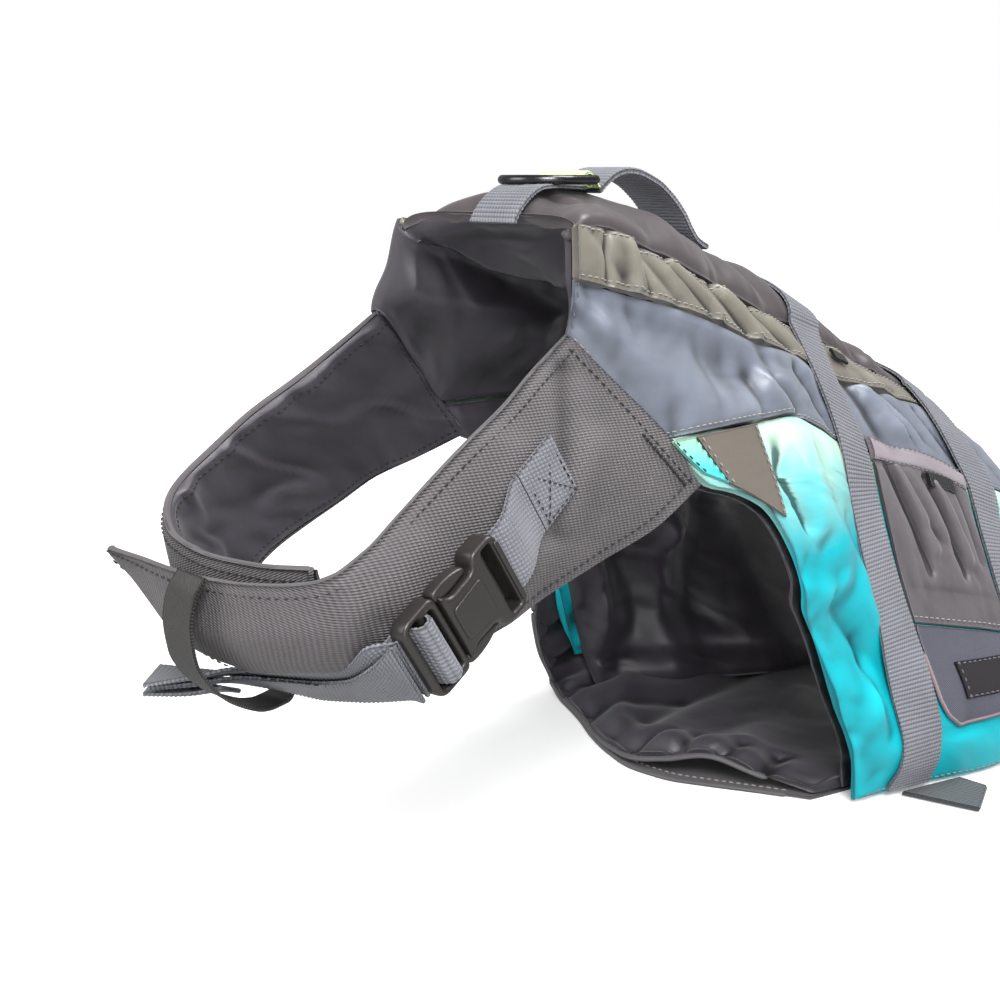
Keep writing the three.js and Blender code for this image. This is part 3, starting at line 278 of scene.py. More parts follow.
class BodyForm:
    """The body surface: a place is a length x and a line number v, left above zero."""

    def __init__(self) -> None:
        cut = {name: curve([(r[0], r[k]) for r in SECTIONS]) for k, name in enumerate(SECTION_COLUMNS)}
        lean = {name: curve([(r[0], r[k]) for r in RIGHT_LEAN]) for k, name in enumerate(LEAN_COLUMNS)}
        self.crest = cut["crest"]
        self.foot_left = cut["footY"]
        self.foot_right = lambda x: cut["footY"](x) + lean["foot"](x)
        self.leg = curve(LEG_EDGE)
        self.rear = curve(REAR_EDGE)
        left_y = [lambda x, n=n: -cut[f"{n}Y"](x) for n in LINES] + [lambda x: -cut["footY"](x)]
        right_y = [lambda x, n=n: cut[f"{n}Y"](x) + lean[n](x) for n in LINES] + [self.foot_right]
        heights = [cut[f"{n}Z"] for n in LINES] + [lambda x: np.full(np.shape(x), FOOT_Z)]
        self.ys = right_y[::-1] + [lambda x: np.zeros(np.shape(x))] + left_y
        self.zs = heights[::-1] + [self.crest] + heights
        self.lines = np.arange(-8.0, 9.0)

    def plain(self, x: Array, v: Array) -> Array:
        """Point of the plain surface: a monotone cubic across the lines of the section at x."""
        x, v = np.broadcast_arrays(np.asarray(x, float), np.asarray(v, float))
        flat_x, flat_v = x.ravel(), v.ravel()
        ys = np.stack([f(flat_x) for f in self.ys], axis=1)
        zs = np.stack([f(flat_x) for f in self.zs], axis=1)
        y = hermite(self.lines, ys, flat_v)
        z = hermite(self.lines, zs, flat_v)
        return np.stack([flat_x, y, z], axis=-1).reshape((*x.shape, 3))

    def normal(self, x: Array, v: Array, span: float = 0.3) -> Array:
        """Outward normal from differences of one millimetre along and a part of a line across."""
        along = self.plain(x + 1, v) - self.plain(x - 1, v)
        across = self.plain(x, v + span) - self.plain(x, v - span)
        return unit(np.cross(across, along))

    def at(self, x: Array, v: Array, out: Array | float = 0.0) -> Array:
        """Surface point with the shared folds, moved out along the normal."""
        x, v = np.broadcast_arrays(np.asarray(x, float), np.asarray(v, float))
        w = np.abs(v)
        puff = np.where(w < 1, 2.6 * 4 * w**2 * (1 - w**2), 0)
        lift = np.asarray(out + puff + creases(BODY_FOLDS, x, w))
        return self.plain(x, v) + self.normal(x, v) * lift[..., None]


BODY = BodyForm()


def grid_normals(p: Array) -> Array:
    """Unit normals of a grid of points."""
    return unit(np.cross(np.gradient(p, axis=0), np.gradient(p, axis=1)))


def arc(p: Array, axis: int) -> Array:
    """Length along one axis of a grid of points, from its first row or column."""
    step = np.linalg.norm(np.diff(p, axis=axis), axis=-1)
    start = np.zeros_like(np.take(step, [0], axis=axis))
    return np.concatenate([start, np.cumsum(step, axis=axis)], axis=axis)


def resample(path: Array, step: float, extra: Array | None = None) -> tuple[Array, Array | None]:
    """Points at even distances along a path, with a second row of vectors carried along.

    Args:
        path: Points (n, 3).
        step: Distance between the new points.
        extra: Vectors that go with the points, or None.

    Returns:
        The new points and the vectors at them.
    """
    length = arc(path, 0)
    count = max(int(length[-1] / step), 2)
    at = np.linspace(0, length[-1], count)

    def read(values: Array) -> Array:
        return np.stack([np.interp(at, length, values[:, k]) for k in range(3)], axis=1)

    return read(path), None if extra is None else unit(read(extra))


# ---------------------------------------------------------------- materials


class Weave(Enum):
    """Surface structure of a finish."""

    RIPSTOP = "ripstop"
    SATIN = "satin"
    OXFORD = "oxford"
    WEBBING = "webbing"
    MOULDED = "moulded"
    METAL = "metal"
    THREAD = "thread"


class Graph:
    """Short names for building a material's nodes."""

    def __init__(self, name: str) -> None:
        self.material = bpy.data.materials.new(name)
        self.material.use_nodes = True
        self.tree = self.material.node_tree
        self.shader = self.tree.nodes["Principled BSDF"]

    def node(self, kind: str, **inputs: object) -> bpy.types.Node:
        """New node with its input sockets set or linked by name."""
        made = self.tree.nodes.new(kind)
        for name, value in inputs.items():
            self.put(made.inputs[name.replace("_", " ")], value)
        return made

    def put(self, socket: bpy.types.NodeSocket, value: object) -> None:
        """Links a socket to another one, or sets its number."""
        if isinstance(value, bpy.types.NodeSocket):
            self.tree.links.new(value, socket)
        else:
            socket.default_value = value

    def math(self, operation: str, a: object, b: object = 0.0) -> bpy.types.NodeSocket:
        """One arithmetic step."""
        made = self.tree.nodes.new("ShaderNodeMath")
        made.operation = operation
        self.put(made.inputs[0], a)
        self.put(made.inputs[1], b)
        return made.outputs[0]

    def uv(self, layer: str) -> tuple[bpy.types.NodeSocket, ...]:
        """Vector, x and y of a UV map."""
        made = self.tree.nodes.new("ShaderNodeUVMap")
        made.uv_map = layer
        parts = self.node("ShaderNodeSeparateXYZ", Vector=made.outputs[0])
        return made.outputs[0], parts.outputs[0], parts.outputs[1]

    def noise(self, vector: object, scale: float, detail: float = 2.0) -> bpy.types.NodeSocket:
        """Noise from 0 to 1."""
        return self.node("ShaderNodeTexNoise", Vector=vector, Scale=scale, Detail=detail).outputs["Fac"]

    def mix(self, factor: object, a: object, b: object) -> bpy.types.NodeSocket:
        """Colour between a and b."""
        made = self.tree.nodes.new("ShaderNodeMix")
        made.data_type = "RGBA"
        self.put(made.inputs["Factor"], factor)
        for socket, value in ((made.inputs[6], a), (made.inputs[7], b)):
            self.put(socket, value)
        return made.outputs[2]

    def wave(self, value: object, pitch: float) -> bpy.types.NodeSocket:
        """sin(2 pi value / pitch)."""
        return self.math("SINE", self.math("MULTIPLY", value, 2 * math.pi / pitch))

    def bump(self, height: object, distance: float, strength: float = 1.0) -> None:
        """Adds a height in metres to the shader's normal."""
        made = self.node("ShaderNodeBump", Height=height, Distance=distance, Strength=strength)
        socket = self.shader.inputs["Normal"]
        if socket.is_linked:
            self.put(made.inputs["Normal"], socket.links[0].from_socket)
        self.put(socket, made.outputs[0])


@dataclass(frozen=True)
class Finish:
    """A cloth, plastic or metal surface.

    color and shade are linear RGB; shade is painted into the hollows of the weave as painted shade, and into soft
    clouds as random tone.
    fade is a second colour at the top of the piece, reaching down to fade_end of its height.
    """

    name: str
    slot: str
    weave: Weave
    color: tuple[float, float, float]
    shade: tuple[float, float, float]
    rough: float = 0.6
    sheen: float = 0.15
    relief: float = 0.0002
    pitch: float = 0.001
    specular: float = 0.4
    metallic: float = 0.0
    fade: tuple[float, float, float] | None = None
    fade_end: float = 0.4
    crumple: float = 0.0
    crumple_scale: float = 22.0
    # Contrast of the painted shade between the raised threads and the hollows of the weave.
    depth: float = 0.45
    # Strength of the painted shade in fold troughs and the painted highlight on fold ridges, read from the Hollow UV
    # map.
    fold_shade_and_highlight: float = 0.75

    def height(self, g: Graph, vector: object, x: object, y: object) -> bpy.types.NodeSocket:
        """Height of the weave from 0 to 1."""
        if self.weave is Weave.OXFORD:
            lean = g.math("ADD", x, g.math("MULTIPLY", y, 0.5))
            cells = g.math("MULTIPLY", g.wave(lean, self.pitch), g.wave(y, self.pitch))
            return g.math("MULTIPLY", g.math("ADD", cells, 1.0), 0.5)
        if self.weave is Weave.RIPSTOP:
            thread = g.math("MULTIPLY", g.wave(x, self.pitch), g.wave(y, self.pitch))
            streak = g.noise(g.node("ShaderNodeCombineXYZ", X=g.math("MULTIPLY", x, 0.15), Y=y).outputs[0], 240.0, 3.0)
            return g.math("ADD", g.math("MULTIPLY", thread, 0.2), streak)
        if self.weave is Weave.WEBBING:
            groove = g.math("ABSOLUTE", g.wave(x, 2 * RIB_PITCH * MM))
            yarn = g.math("MULTIPLY", g.wave(g.math("ADD", y, g.math("MULTIPLY", x, 0.4)), self.pitch), 0.25)
            return g.math("ADD", g.math("MULTIPLY", g.math("POWER", groove, 0.6), 0.8), yarn)
        if self.weave is Weave.SATIN:
            twill = g.wave(g.math("ADD", x, y), self.pitch)
            return g.math("ADD", g.math("MULTIPLY", twill, 0.12), g.noise(vector, 260.0, 3.0))
        if self.weave is Weave.THREAD:
            return g.wave(g.math("ADD", x, y), self.pitch)
        return g.noise(vector, 2600.0, 3.0)

    def build(self) -> bpy.types.Material:
        """Makes the material."""
        g = Graph(self.name)
        vector, x, y = g.uv("Weave")
        height = self.height(g, vector, x, y)
        cloud = g.noise(vector, 38.0, 4.0)
        fine = g.noise(vector, 900.0, 2.0)
        # Painted shade in the weave: its low parts are mixed towards the shade colour and its raised threads stay at
        # color; the cloud noise adds random tone.
        amount = g.math("SUBTRACT", 0.275 + 0.5 * self.depth, g.math("MULTIPLY", height, self.depth))
        amount = g.math("ADD", amount, g.math("MULTIPLY", g.math("SUBTRACT", cloud, 0.5), 0.6))
        clamp = g.math("MINIMUM", g.math("MAXIMUM", amount, 0.0), 1.0)
        base: object = (*self.color, 1.0)
        if self.fade is not None:
            _, _, down = g.uv("Place")
            wander = g.math("ADD", down, g.math("MULTIPLY", g.math("SUBTRACT", cloud, 0.5), 0.12))
            base = self.ramp(g, wander)
            clamp = g.math("MULTIPLY", clamp, 0.3)
        cloth = g.mix(clamp, base, (*self.shade, 1.0))
        # Painted shade and highlight of the folds: points deep in a fold trough are mixed towards a dark copy of the
        # shade colour (painted shade), points on a ridge towards a lighter copy of the colour (painted highlight).
        _, deep, _ = g.uv("Hollow")
        painted_fold_shade = g.math("MINIMUM", g.math("MAXIMUM", g.math("MULTIPLY", deep, self.fold_shade_and_highlight), 0.0), 0.85)
        cloth = g.mix(painted_fold_shade, cloth, (*(0.22 * np.array(self.shade)), 1.0))
        ridge = g.math("MINIMUM", g.math("MAXIMUM", g.math("MULTIPLY", deep, -0.4 * self.fold_shade_and_highlight), 0.0), 0.35)
        cloth = g.mix(ridge, cloth, (*np.minimum(1.7 * np.array(self.color), 0.9), 1.0))
        g.put(g.shader.inputs["Base Color"], cloth)
        rough = g.math("ADD", self.rough - 0.06, g.math("MULTIPLY", fine, 0.12))
        g.put(g.shader.inputs["Roughness"], rough)
        g.shader.inputs["Specular IOR Level"].default_value = self.specular
        g.shader.inputs["Sheen Weight"].default_value = self.sheen
        g.shader.inputs["Sheen Roughness"].default_value = 0.45
        g.shader.inputs["Metallic"].default_value = self.metallic
        g.bump(g.math("ADD", height, g.math("MULTIPLY", fine, 0.25)), self.relief)
        if self.crumple > 0:
            stretched = g.node("ShaderNodeVectorMath")
            stretched.operation = "MULTIPLY"
            g.put(stretched.inputs[0], vector)
            stretched.inputs[1].default_value = (1.0, 0.55, 1.0)
            soft = g.noise(stretched.outputs[0], self.crumple_scale, 3.0)
            ridge = g.math("ABSOLUTE", g.math("SUBTRACT", soft, 0.5))
            g.bump(g.math("MINIMUM", g.math("MULTIPLY", ridge, 5.0), 1.0), self.crumple, 0.8)
        return g.material

    def ramp(self, g: Graph, value: object) -> bpy.types.NodeSocket:
        """Colour that goes from fade at the top to color at fade_end."""
        made = g.tree.nodes.new("ShaderNodeValToRGB")
        stops = made.color_ramp.elements
        stops[0].position, stops[0].color = 0.03, (*self.fade, 1.0)
        stops[1].position, stops[1].color = self.fade_end, (*self.color, 1.0)
        middle = stops.new(self.fade_end * 0.5)
        middle.color = (*(0.45 * np.array(self.fade) + 0.55 * np.array(self.color)), 1.0)
        g.put(made.inputs[0], value)
        return made.outputs[0]


SATIN = Finish(
    "satin lining", "satin", Weave.SATIN, (0.040, 0.035, 0.045), (0.018, 0.015, 0.021), rough=0.44, sheen=0.16,
    relief=0.00006, pitch=0.0007, specular=0.65, crumple=0.0009, crumple_scale=11.0,
)
PAD = Finish(
    "back pad cloth", "pad_cloth", Weave.SATIN, (0.060, 0.048, 0.051), (0.028, 0.021, 0.023), rough=0.38,
    sheen=0.15, relief=0.00006, pitch=0.0008, specular=0.6, crumple=0.0024, crumple_scale=13.0,
)
STRIP = Finish(
    "reflective strip", "strip_cloth", Weave.RIPSTOP, (0.19, 0.175, 0.145), (0.085, 0.077, 0.062), rough=0.36,
    sheen=0.1, relief=0.00008, pitch=0.0009, specular=0.65, crumple=0.0022, crumple_scale=22.0,
)
YOKE = Finish(
    "grey blue cloth", "yoke_cloth", Weave.RIPSTOP, (0.160, 0.178, 0.222), (0.080, 0.090, 0.117), rough=0.36,
    sheen=0.15, relief=0.00008, pitch=0.0009, specular=0.6, crumple=0.0022, crumple_scale=13.0,
)
WING = Finish(
    "teal cloth", "wing_cloth", Weave.RIPSTOP, (0.0, 0.40, 0.47), (0.0, 0.16, 0.21), rough=0.44, sheen=0.05,
    relief=0.00008, pitch=0.0009, specular=0.4, fade=(0.56, 0.76, 0.60), fade_end=0.29, crumple=0.0024,
    crumple_scale=13.0,
)
COVER = Finish(
    "belly cover cloth", "belly_cloth", Weave.RIPSTOP, (0.11, 0.105, 0.11), (0.05, 0.047, 0.05), rough=0.6,
    sheen=0.15, relief=0.0001, pitch=0.0009,
)
OXFORD = Finish(
    "oxford cloth", "oxford", Weave.OXFORD, (0.130, 0.120, 0.126), (0.016, 0.014, 0.016), rough=0.52,
    sheen=0.08, relief=0.0006, pitch=0.0021, specular=0.4, crumple=0.0010, crumple_scale=12.0, depth=0.95,
)
WEBBING = Finish(
    "ribbed webbing", "webbing", Weave.WEBBING, (0.21, 0.215, 0.245), (0.04, 0.04, 0.048), rough=0.60,
    sheen=0.15, relief=0.0004, pitch=0.0016,
)
TAIL = Finish(
    "dark strap end", "tail_webbing", Weave.WEBBING, (0.070, 0.074, 0.080), (0.03, 0.03, 0.035), rough=0.6,
    sheen=0.2, relief=0.0003, pitch=0.0018,
)
ELASTIC = Finish(
    "elastic", "elastic", Weave.THREAD, (0.021, 0.018, 0.016), (0.010, 0.009, 0.008), rough=0.50, sheen=0.1,
    relief=0.0002, pitch=0.0012,
)
TAUPE = Finish(
    "taupe cloth", "taupe_print", Weave.RIPSTOP, (0.145, 0.126, 0.106), (0.085, 0.073, 0.06), rough=0.46,
    sheen=0.15, relief=0.0001, pitch=0.0009,
)
MINT = Finish(
    "mint cloth", "mint_print", Weave.RIPSTOP, (0.06, 0.52, 0.52), (0.05, 0.35, 0.33), rough=0.5, sheen=0.15,
    relief=0.0001, pitch=0.0009, fade=(0.33, 0.66, 0.46), fade_end=0.8,
)
BINDING = Finish(
    "pocket binding cloth", "binding_cloth", Weave.OXFORD, (0.26, 0.225, 0.25), (0.13, 0.11, 0.13), rough=0.55,
    sheen=0.2, relief=0.0002, pitch=0.0012,
)
POUCH = Finish(
    "pocket cloth", "pouch_cloth", Weave.SATIN, (0.105, 0.094, 0.102), (0.045, 0.040, 0.044), rough=0.42,
    sheen=0.2, relief=0.0001, pitch=0.0009, specular=0.55, crumple=0.001, crumple_scale=24.0,
)
SLATE = Finish(
    "slate cloth", "slate_cloth", Weave.OXFORD, (0.075, 0.076, 0.105), (0.036, 0.036, 0.05), rough=0.55,
    sheen=0.2, relief=0.0002, pitch=0.0012,
)
PIPING = Finish(
    "pink piping", "binding_cloth", Weave.THREAD, (0.33, 0.22, 0.24), (0.20, 0.13, 0.15), rough=0.6, sheen=0.2,
    relief=0.00008, pitch=0.0008,
)
LABEL = Finish(
    "label patch", "label_cloth", Weave.MOULDED, (0.022, 0.020, 0.022), (0.014, 0.013, 0.014), rough=0.45,
    sheen=0.0, relief=0.00005,
)
TAPE = Finish(
    "black tape", "pull_tape", Weave.WEBBING, (0.012, 0.012, 0.013), (0.006, 0.006, 0.007), rough=0.6,
    sheen=0.1, relief=0.0002, pitch=0.0015,
)
PLASTIC = Finish(
    "buckle plastic", "buckle_plastic", Weave.MOULDED, (0.024, 0.021, 0.019), (0.013, 0.012, 0.011), rough=0.34,
    sheen=0.0, relief=0.00004, specular=0.55,
)
LIME = Finish(
    "lime tape", "lime_tape", Weave.WEBBING, (0.66, 0.82, 0.42), (0.42, 0.60, 0.22), rough=0.7, sheen=0.2,
    relief=0.0002, pitch=0.0015,
)
METAL = Finish(
    "gunmetal", "ring_metal", Weave.METAL, (0.085, 0.082, 0.085), (0.06, 0.058, 0.06), rough=0.26, sheen=0.0,
    relief=0.00003, metallic=1.0,
)
WHITE_THREAD = Finish(
    "pale thread", "strip_cloth", Weave.THREAD, (0.42, 0.39, 0.38), (0.25, 0.23, 0.23), rough=0.7, sheen=0.2,
    relief=0.00005, pitch=0.0004,
)
DARK_THREAD = Finish(
    "dark thread", "pull_tape", Weave.THREAD, (0.018, 0.017, 0.018), (0.01, 0.01, 0.01), rough=0.6, sheen=0.1,
    relief=0.00005, pitch=0.0004,
)
GREY_THREAD = Finish(
    "grey thread", "webbing", Weave.THREAD, (0.20, 0.185, 0.20), (0.10, 0.09, 0.10), rough=0.7, sheen=0.2,
    relief=0.00005, pitch=0.0004,
)


# ---------------------------------------------------------------- meshes


def hollows(grid: Array, outward: Array, reach: float = 5.0) -> Array:
    """How deep each point of a grid lies below the mean of its neighbours, in millimetres."""
    mean = grid
    for axis in (0, 1):
        spacing = float(arc(grid, axis).max()) / (grid.shape[axis] - 1)
        k = int(np.clip(round(reach / max(spacing, 1e-3)), 1, (grid.shape[axis] - 1) // 2))
        for _ in range(2):
            pad = [(0, 0)] * 3
            pad[axis] = (k, k)
            total = np.cumsum(np.pad(mean, pad, mode="reflect", reflect_type="odd"), axis=axis)
            low = np.take(total, range(grid.shape[axis]), axis=axis)
            high = np.take(total, range(2 * k, 2 * k + grid.shape[axis]), axis=axis)
            mean = (high - low) / (2 * k)
    normal = grid_normals(grid)
    if float((normal * outward).sum(-1).mean()) < 0:
        normal = -normal
    return ((mean - grid) * normal).sum(-1)


@dataclass
class Workshop:
    """Makes meshes in the row frame, and keeps the materials and the triangle count."""

    materials: dict[str, bpy.types.Material] = field(default_factory=dict)
    triangles: int = 0

    def material(self, finish: Finish) -> bpy.types.Material:
        """The finish's material, made once."""
        if finish.name not in self.materials:
            self.materials[finish.name] = finish.build()
        return self.materials[finish.name]

    def mesh(self, name: str, points: Array, quads: Array, weave: Array, finish: Finish,
             body: str = "jacket", place: Array | None = None, deep: Array | None = None) -> bpy.types.Object:
        """Smooth mesh of quads.

        Args:
            name: Piece name.
            points: Points (n, 3) in millimetres of the design.
            quads: Corner numbers (m, 4).
            weave: Position of each point on its cloth (n, 2), in millimetres.
            finish: Its surface.
            body: Body that it rides on.
            place: Share across the piece of each point (n, 2), or None.
            deep: How far each point lies in a hollow (n, 2), or None; the material paints shade in the hollows and a
                highlight on the ridges from it.

        Returns:
            The object.
        """
        p = (points - ORIGIN) * MM
        a, b, c = p[quads[:, 0]], p[quads[:, 1]], p[quads[:, 2]]
        d = p[quads[:, 3]]
        volume = np.einsum("ij,ij->i", a, np.cross(b, c)).sum() + np.einsum("ij,ij->i", a, np.cross(c, d)).sum()
        if volume < 0:
            quads = quads[:, ::-1]
        data = bpy.data.meshes.new(name)
        data.vertices.add(len(p))
        data.vertices.foreach_set("co", p.astype(np.float32).ravel())
        data.loops.add(quads.size)
        data.loops.foreach_set("vertex_index", quads.ravel().astype(np.int32))
        data.polygons.add(len(quads))
        data.polygons.foreach_set("loop_start", np.arange(0, quads.size, 4, dtype=np.int32))
        data.update(calc_edges=True)
        data.validate()
        data.polygons.foreach_set("use_smooth", np.ones(len(data.polygons), bool))
        for layer, values in (("Weave", weave * MM), ("Place", place), ("Hollow", deep)):
            if values is None:
                continue
            uv = data.uv_layers.new(name=layer)
            corner = np.empty(len(data.loops), np.int32)
            data.loops.foreach_get("vertex_index", corner)
            uv.data.foreach_set("uv", values[corner].astype(np.float32).ravel())
        made = bpy.data.objects.new(name, data)
        bpy.context.scene.collection.objects.link(made)
        data.materials.append(self.material(finish))
        self.triangles += 2 * len(quads)
        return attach(made, body)

    def shell(self, name: str, outer: Array, inner: Array, finish: Finish, body: str = "jacket",
              roll: float = 0.35, weave: Array | None = None) -> bpy.types.Object:
        """Closed wall between two grids of points, with a rounded rim."""
        n, m = outer.shape[:2]
        idx = np.arange(n * m).reshape(n, m)
        face = np.stack([idx[:-1, :-1], idx[1:, :-1], idx[1:, 1:], idx[:-1, 1:]], axis=-1).reshape(-1, 4)
        ring = np.concatenate([idx[:-1, 0], idx[-1, :-1], idx[:0:-1, -1], idx[0, :0:-1]])
        rows = np.clip(np.arange(n), 1, n - 2)
        cols = np.clip(np.arange(m), 1, m - 2)
        inset = idx[np.ix_(rows, cols)]
        flat_outer, flat_inner = outer.reshape(-1, 3), inner.reshape(-1, 3)
        outward = unit(flat_outer[ring] - flat_outer[inset.ravel()[ring]])
        gap = np.linalg.norm(flat_outer[ring] - flat_inner[ring], axis=1, keepdims=True)
        mid = (flat_outer[ring] + flat_inner[ring]) / 2 + outward * gap * roll
        total = n * m
        points = np.concatenate([flat_outer, flat_inner, mid])
        here = np.arange(len(ring))
        nxt = np.roll(here, -1)
        rim = np.concatenate([
            np.stack([ring, 2 * total + here, 2 * total + nxt, ring[nxt]], axis=-1),
            np.stack([2 * total + here, total + ring, total + ring[nxt], 2 * total + nxt], axis=-1)])
        quads = np.concatenate([face[:, ::-1], face + total, rim])
        if weave is None:
            weave = np.stack([arc(outer, 0).ravel(), arc(outer, 1).ravel()], axis=-1)
        grid = np.stack(np.meshgrid(np.linspace(0, 1, n), np.linspace(0, 1, m), indexing="ij"), axis=-1).reshape(-1, 2)
        # Fold depth for the Hollow UV map, from which the materials paint shade into the troughs and a highlight onto
        # the ridges; the inner face gets the opposite sign.
        deep = hollows(outer, outer - inner).ravel() if min(n, m) > 12 else np.zeros(total)
        deep = np.concatenate([deep, -deep, 0 * deep[ring]])
        return self.mesh(name, points, quads, np.concatenate([weave, weave, weave[ring]]), finish, body,
                         np.concatenate([grid, grid, grid[ring]]), np.stack([deep, deep], axis=-1))

    def stitches(self, name: str, path: Array, normal: Array, finish: Finish, pitch: float = 3.4,
                 length: float = 2.3, radius: float = 0.32) -> bpy.types.Object:
        """Row of sewn stitches: spindles of four rings of six points, half sunk into the cloth."""
        at, out = resample(path, pitch, normal)
        along = unit(np.gradient(at, axis=0))
        side = unit(np.cross(along, out))
        share = np.array([-0.5, -0.3, 0.3, 0.5])
        width = np.array([0.25, 1.0, 1.0, 0.25]) * radius
        dip = np.array([-0.5, 0.25, 0.25, -0.5]) * radius
        angle = np.linspace(0, 2 * np.pi, 6, endpoint=False)
        ring = (along[:, None, None] * (share * length)[None, :, None, None]
                + out[:, None, None] * (dip[None, :, None] + width[None, :, None] * np.sin(angle))[..., None]
                + side[:, None, None] * (width[None, :, None] * np.cos(angle))[..., None])
        points = (at[:, None, None] + ring).reshape(-1, 3)
        k = np.arange(6)
        one = np.concatenate([np.stack([r * 6 + k, r * 6 + (k + 1) % 6, r * 6 + 6 + (k + 1) % 6, r * 6 + 6 + k], -1)
                              for r in range(3)]
                             + [np.array([[0, 3, 2, 1], [0, 5, 4, 3], [18, 19, 20, 21], [18, 21, 22, 23]])])
        quads = (one[None] + (np.arange(len(at)) * 24)[:, None, None]).reshape(-1, 4)
        weave = np.stack([points[:, 0], points[:, 2]], axis=-1)
        return self.mesh(name, points, quads, weave, finish)

    def tube(self, name: str, path: Array, radius: float, finish: Finish, body: str = "jacket",
             closed: bool = False, flat: float = 1.0, up: Array | None = None, sides: int = 12) -> bpy.types.Object:
        """Round or oval bar along a path, closed into a ring or with rounded ends."""
        if closed:
            along = unit(np.roll(path, -1, axis=0) - np.roll(path, 1, axis=0))
        else:
            along = unit(np.gradient(path, axis=0))
        guide = np.array([0.0, 0.0, 1.0]) if up is None else up
        side = unit(np.cross(along, guide))
        out = unit(np.cross(side, along))
        angle = np.linspace(0, 2 * np.pi, sides, endpoint=False)
        scale = np.ones(len(path))
        if not closed:
            length = arc(path, 0)
            end = np.minimum(length, length[-1] - length)
            scale = np.sqrt(np.clip(1 - np.clip(1 - end / radius, 0, 1) ** 2, 0.02, 1))
        points = (path[:, None] + radius * scale[:, None, None] * (side[:, None] * np.cos(angle)[None, :, None]
                  + out[:, None] * flat * np.sin(angle)[None, :, None])).reshape(-1, 3)
        n = len(path)
        rows = np.arange(n if closed else n - 1)[:, None] * sides
        nxt = ((np.arange(n if closed else n - 1)[:, None] + 1) % n) * sides
        k = np.arange(sides)[None]
        quads = np.stack([rows + k, rows + (k + 1) % sides, nxt + (k + 1) % sides, nxt + k], -1).reshape(-1, 4)
        if not closed:
            last = (n - 1) * sides
            j = np.arange(1, sides // 2)
            cap = np.stack([j - 1, j, sides - 1 - j, sides - j], -1)
            cap[:, 3] = (sides - j) % sides
            cap[0, 0], cap[0, 3] = 0, sides - 1
            quads = np.concatenate([quads, cap, cap[:, ::-1] + last])
        length = arc(path, 0)
        weave = np.stack([np.repeat(length, sides), np.tile(angle * radius, n)], axis=-1)
        return self.mesh(name, points, quads, weave, finish, body)

    def webbing(self, name: str, centre: Array, side: Array, out: Array, finish: Finish, width: float = WEBBING_WIDTH,
                thick: float = WEBBING_THICK, rib: float = 0.5, pitch: float = RIB_PITCH,
                body: str = "jacket") -> bpy.types.Object:
        """Ribbed strap along a path, with ribs as real ridges across it.

        Args:
            name: Piece name.
            centre: Middle line of its underside (n, 3).
            side: Unit vectors across it (n, 3).
            out: Unit vectors from its underside to its top (n, 3).
            finish: Its surface.
            width: Width of the strap.
            thick: Thickness of the strap.
            rib: Height of the ribs.
            pitch: Distance between ribs.
            body: Body that it rides on.

        Returns:
            The object.
        """
        path, across = resample(centre, pitch / 5, side)
        _, lift = resample(centre, pitch / 5, out)
        length = arc(path, 0)[:, None]
        k = np.array([-0.5, -0.47, -0.3, -0.1, 0.1, 0.3, 0.47, 0.5])
        edge = np.clip((0.5 - np.abs(k)) / 0.03, 0, 1)
        wave = np.abs(np.sin(np.pi * length / pitch)) ** 0.6
        ridge = rib * (wave - 0.6) * (0.5 + 0.5 * edge)[None, :]
        ragged = np.where(edge[None, :] < 1, 1.0 + 0.03 * (wave - 0.5), 1.0)
        base = path[:, None] + across[:, None] * (k[None, :] * width * ragged)[..., None]
        outer = base + lift[:, None] * (thick * (0.75 + 0.25 * edge)[None, :] + ridge)[..., None]
        inner = base + lift[:, None] * (0.1 * thick * (1 - edge)[None, :] - 0.5 * ridge)[..., None]
        weave = np.stack(np.broadcast_arrays(length, k[None, :] * width), axis=-1).reshape(-1, 2)
        return self.shell(name, outer, inner, finish, body, roll=0.2, weave=weave)


SHOP = Workshop()


def declare(made: bpy.types.Object, plain: Array) -> bpy.types.Object:
    """Says that a piece is a sheet of cloth, cut to the size of its plain form laid flat.

    Args:
        made: The piece.
        plain: Grid of points of the unfolded form, in millimetres.

    Returns:
        The piece.
    """
    a = np.cross(plain[1:, :-1] - plain[:-1, :-1], plain[:-1, 1:] - plain[:-1, :-1])
    b = np.cross(plain[:-1, 1:] - plain[1:, 1:], plain[1:, :-1] - plain[1:, 1:])
    area = (np.linalg.norm(a, axis=-1).sum() + np.linalg.norm(b, axis=-1).sum()) / 2 * MM**2
    wide = float(arc(plain, 1)[:, -1].max()) * MM
    long = float(arc(plain, 0)[-1].max()) * MM
    wide, long = max(wide, 0.0102), max(long, 0.0102)
    area = min(max(area, 0.305 * wide * long), wide * long)
    log.info("cut %s %.3f x %.3f m, area %.4f m2", made.name, wide, long, area)
    return made


# ---------------------------------------------------------------- panels


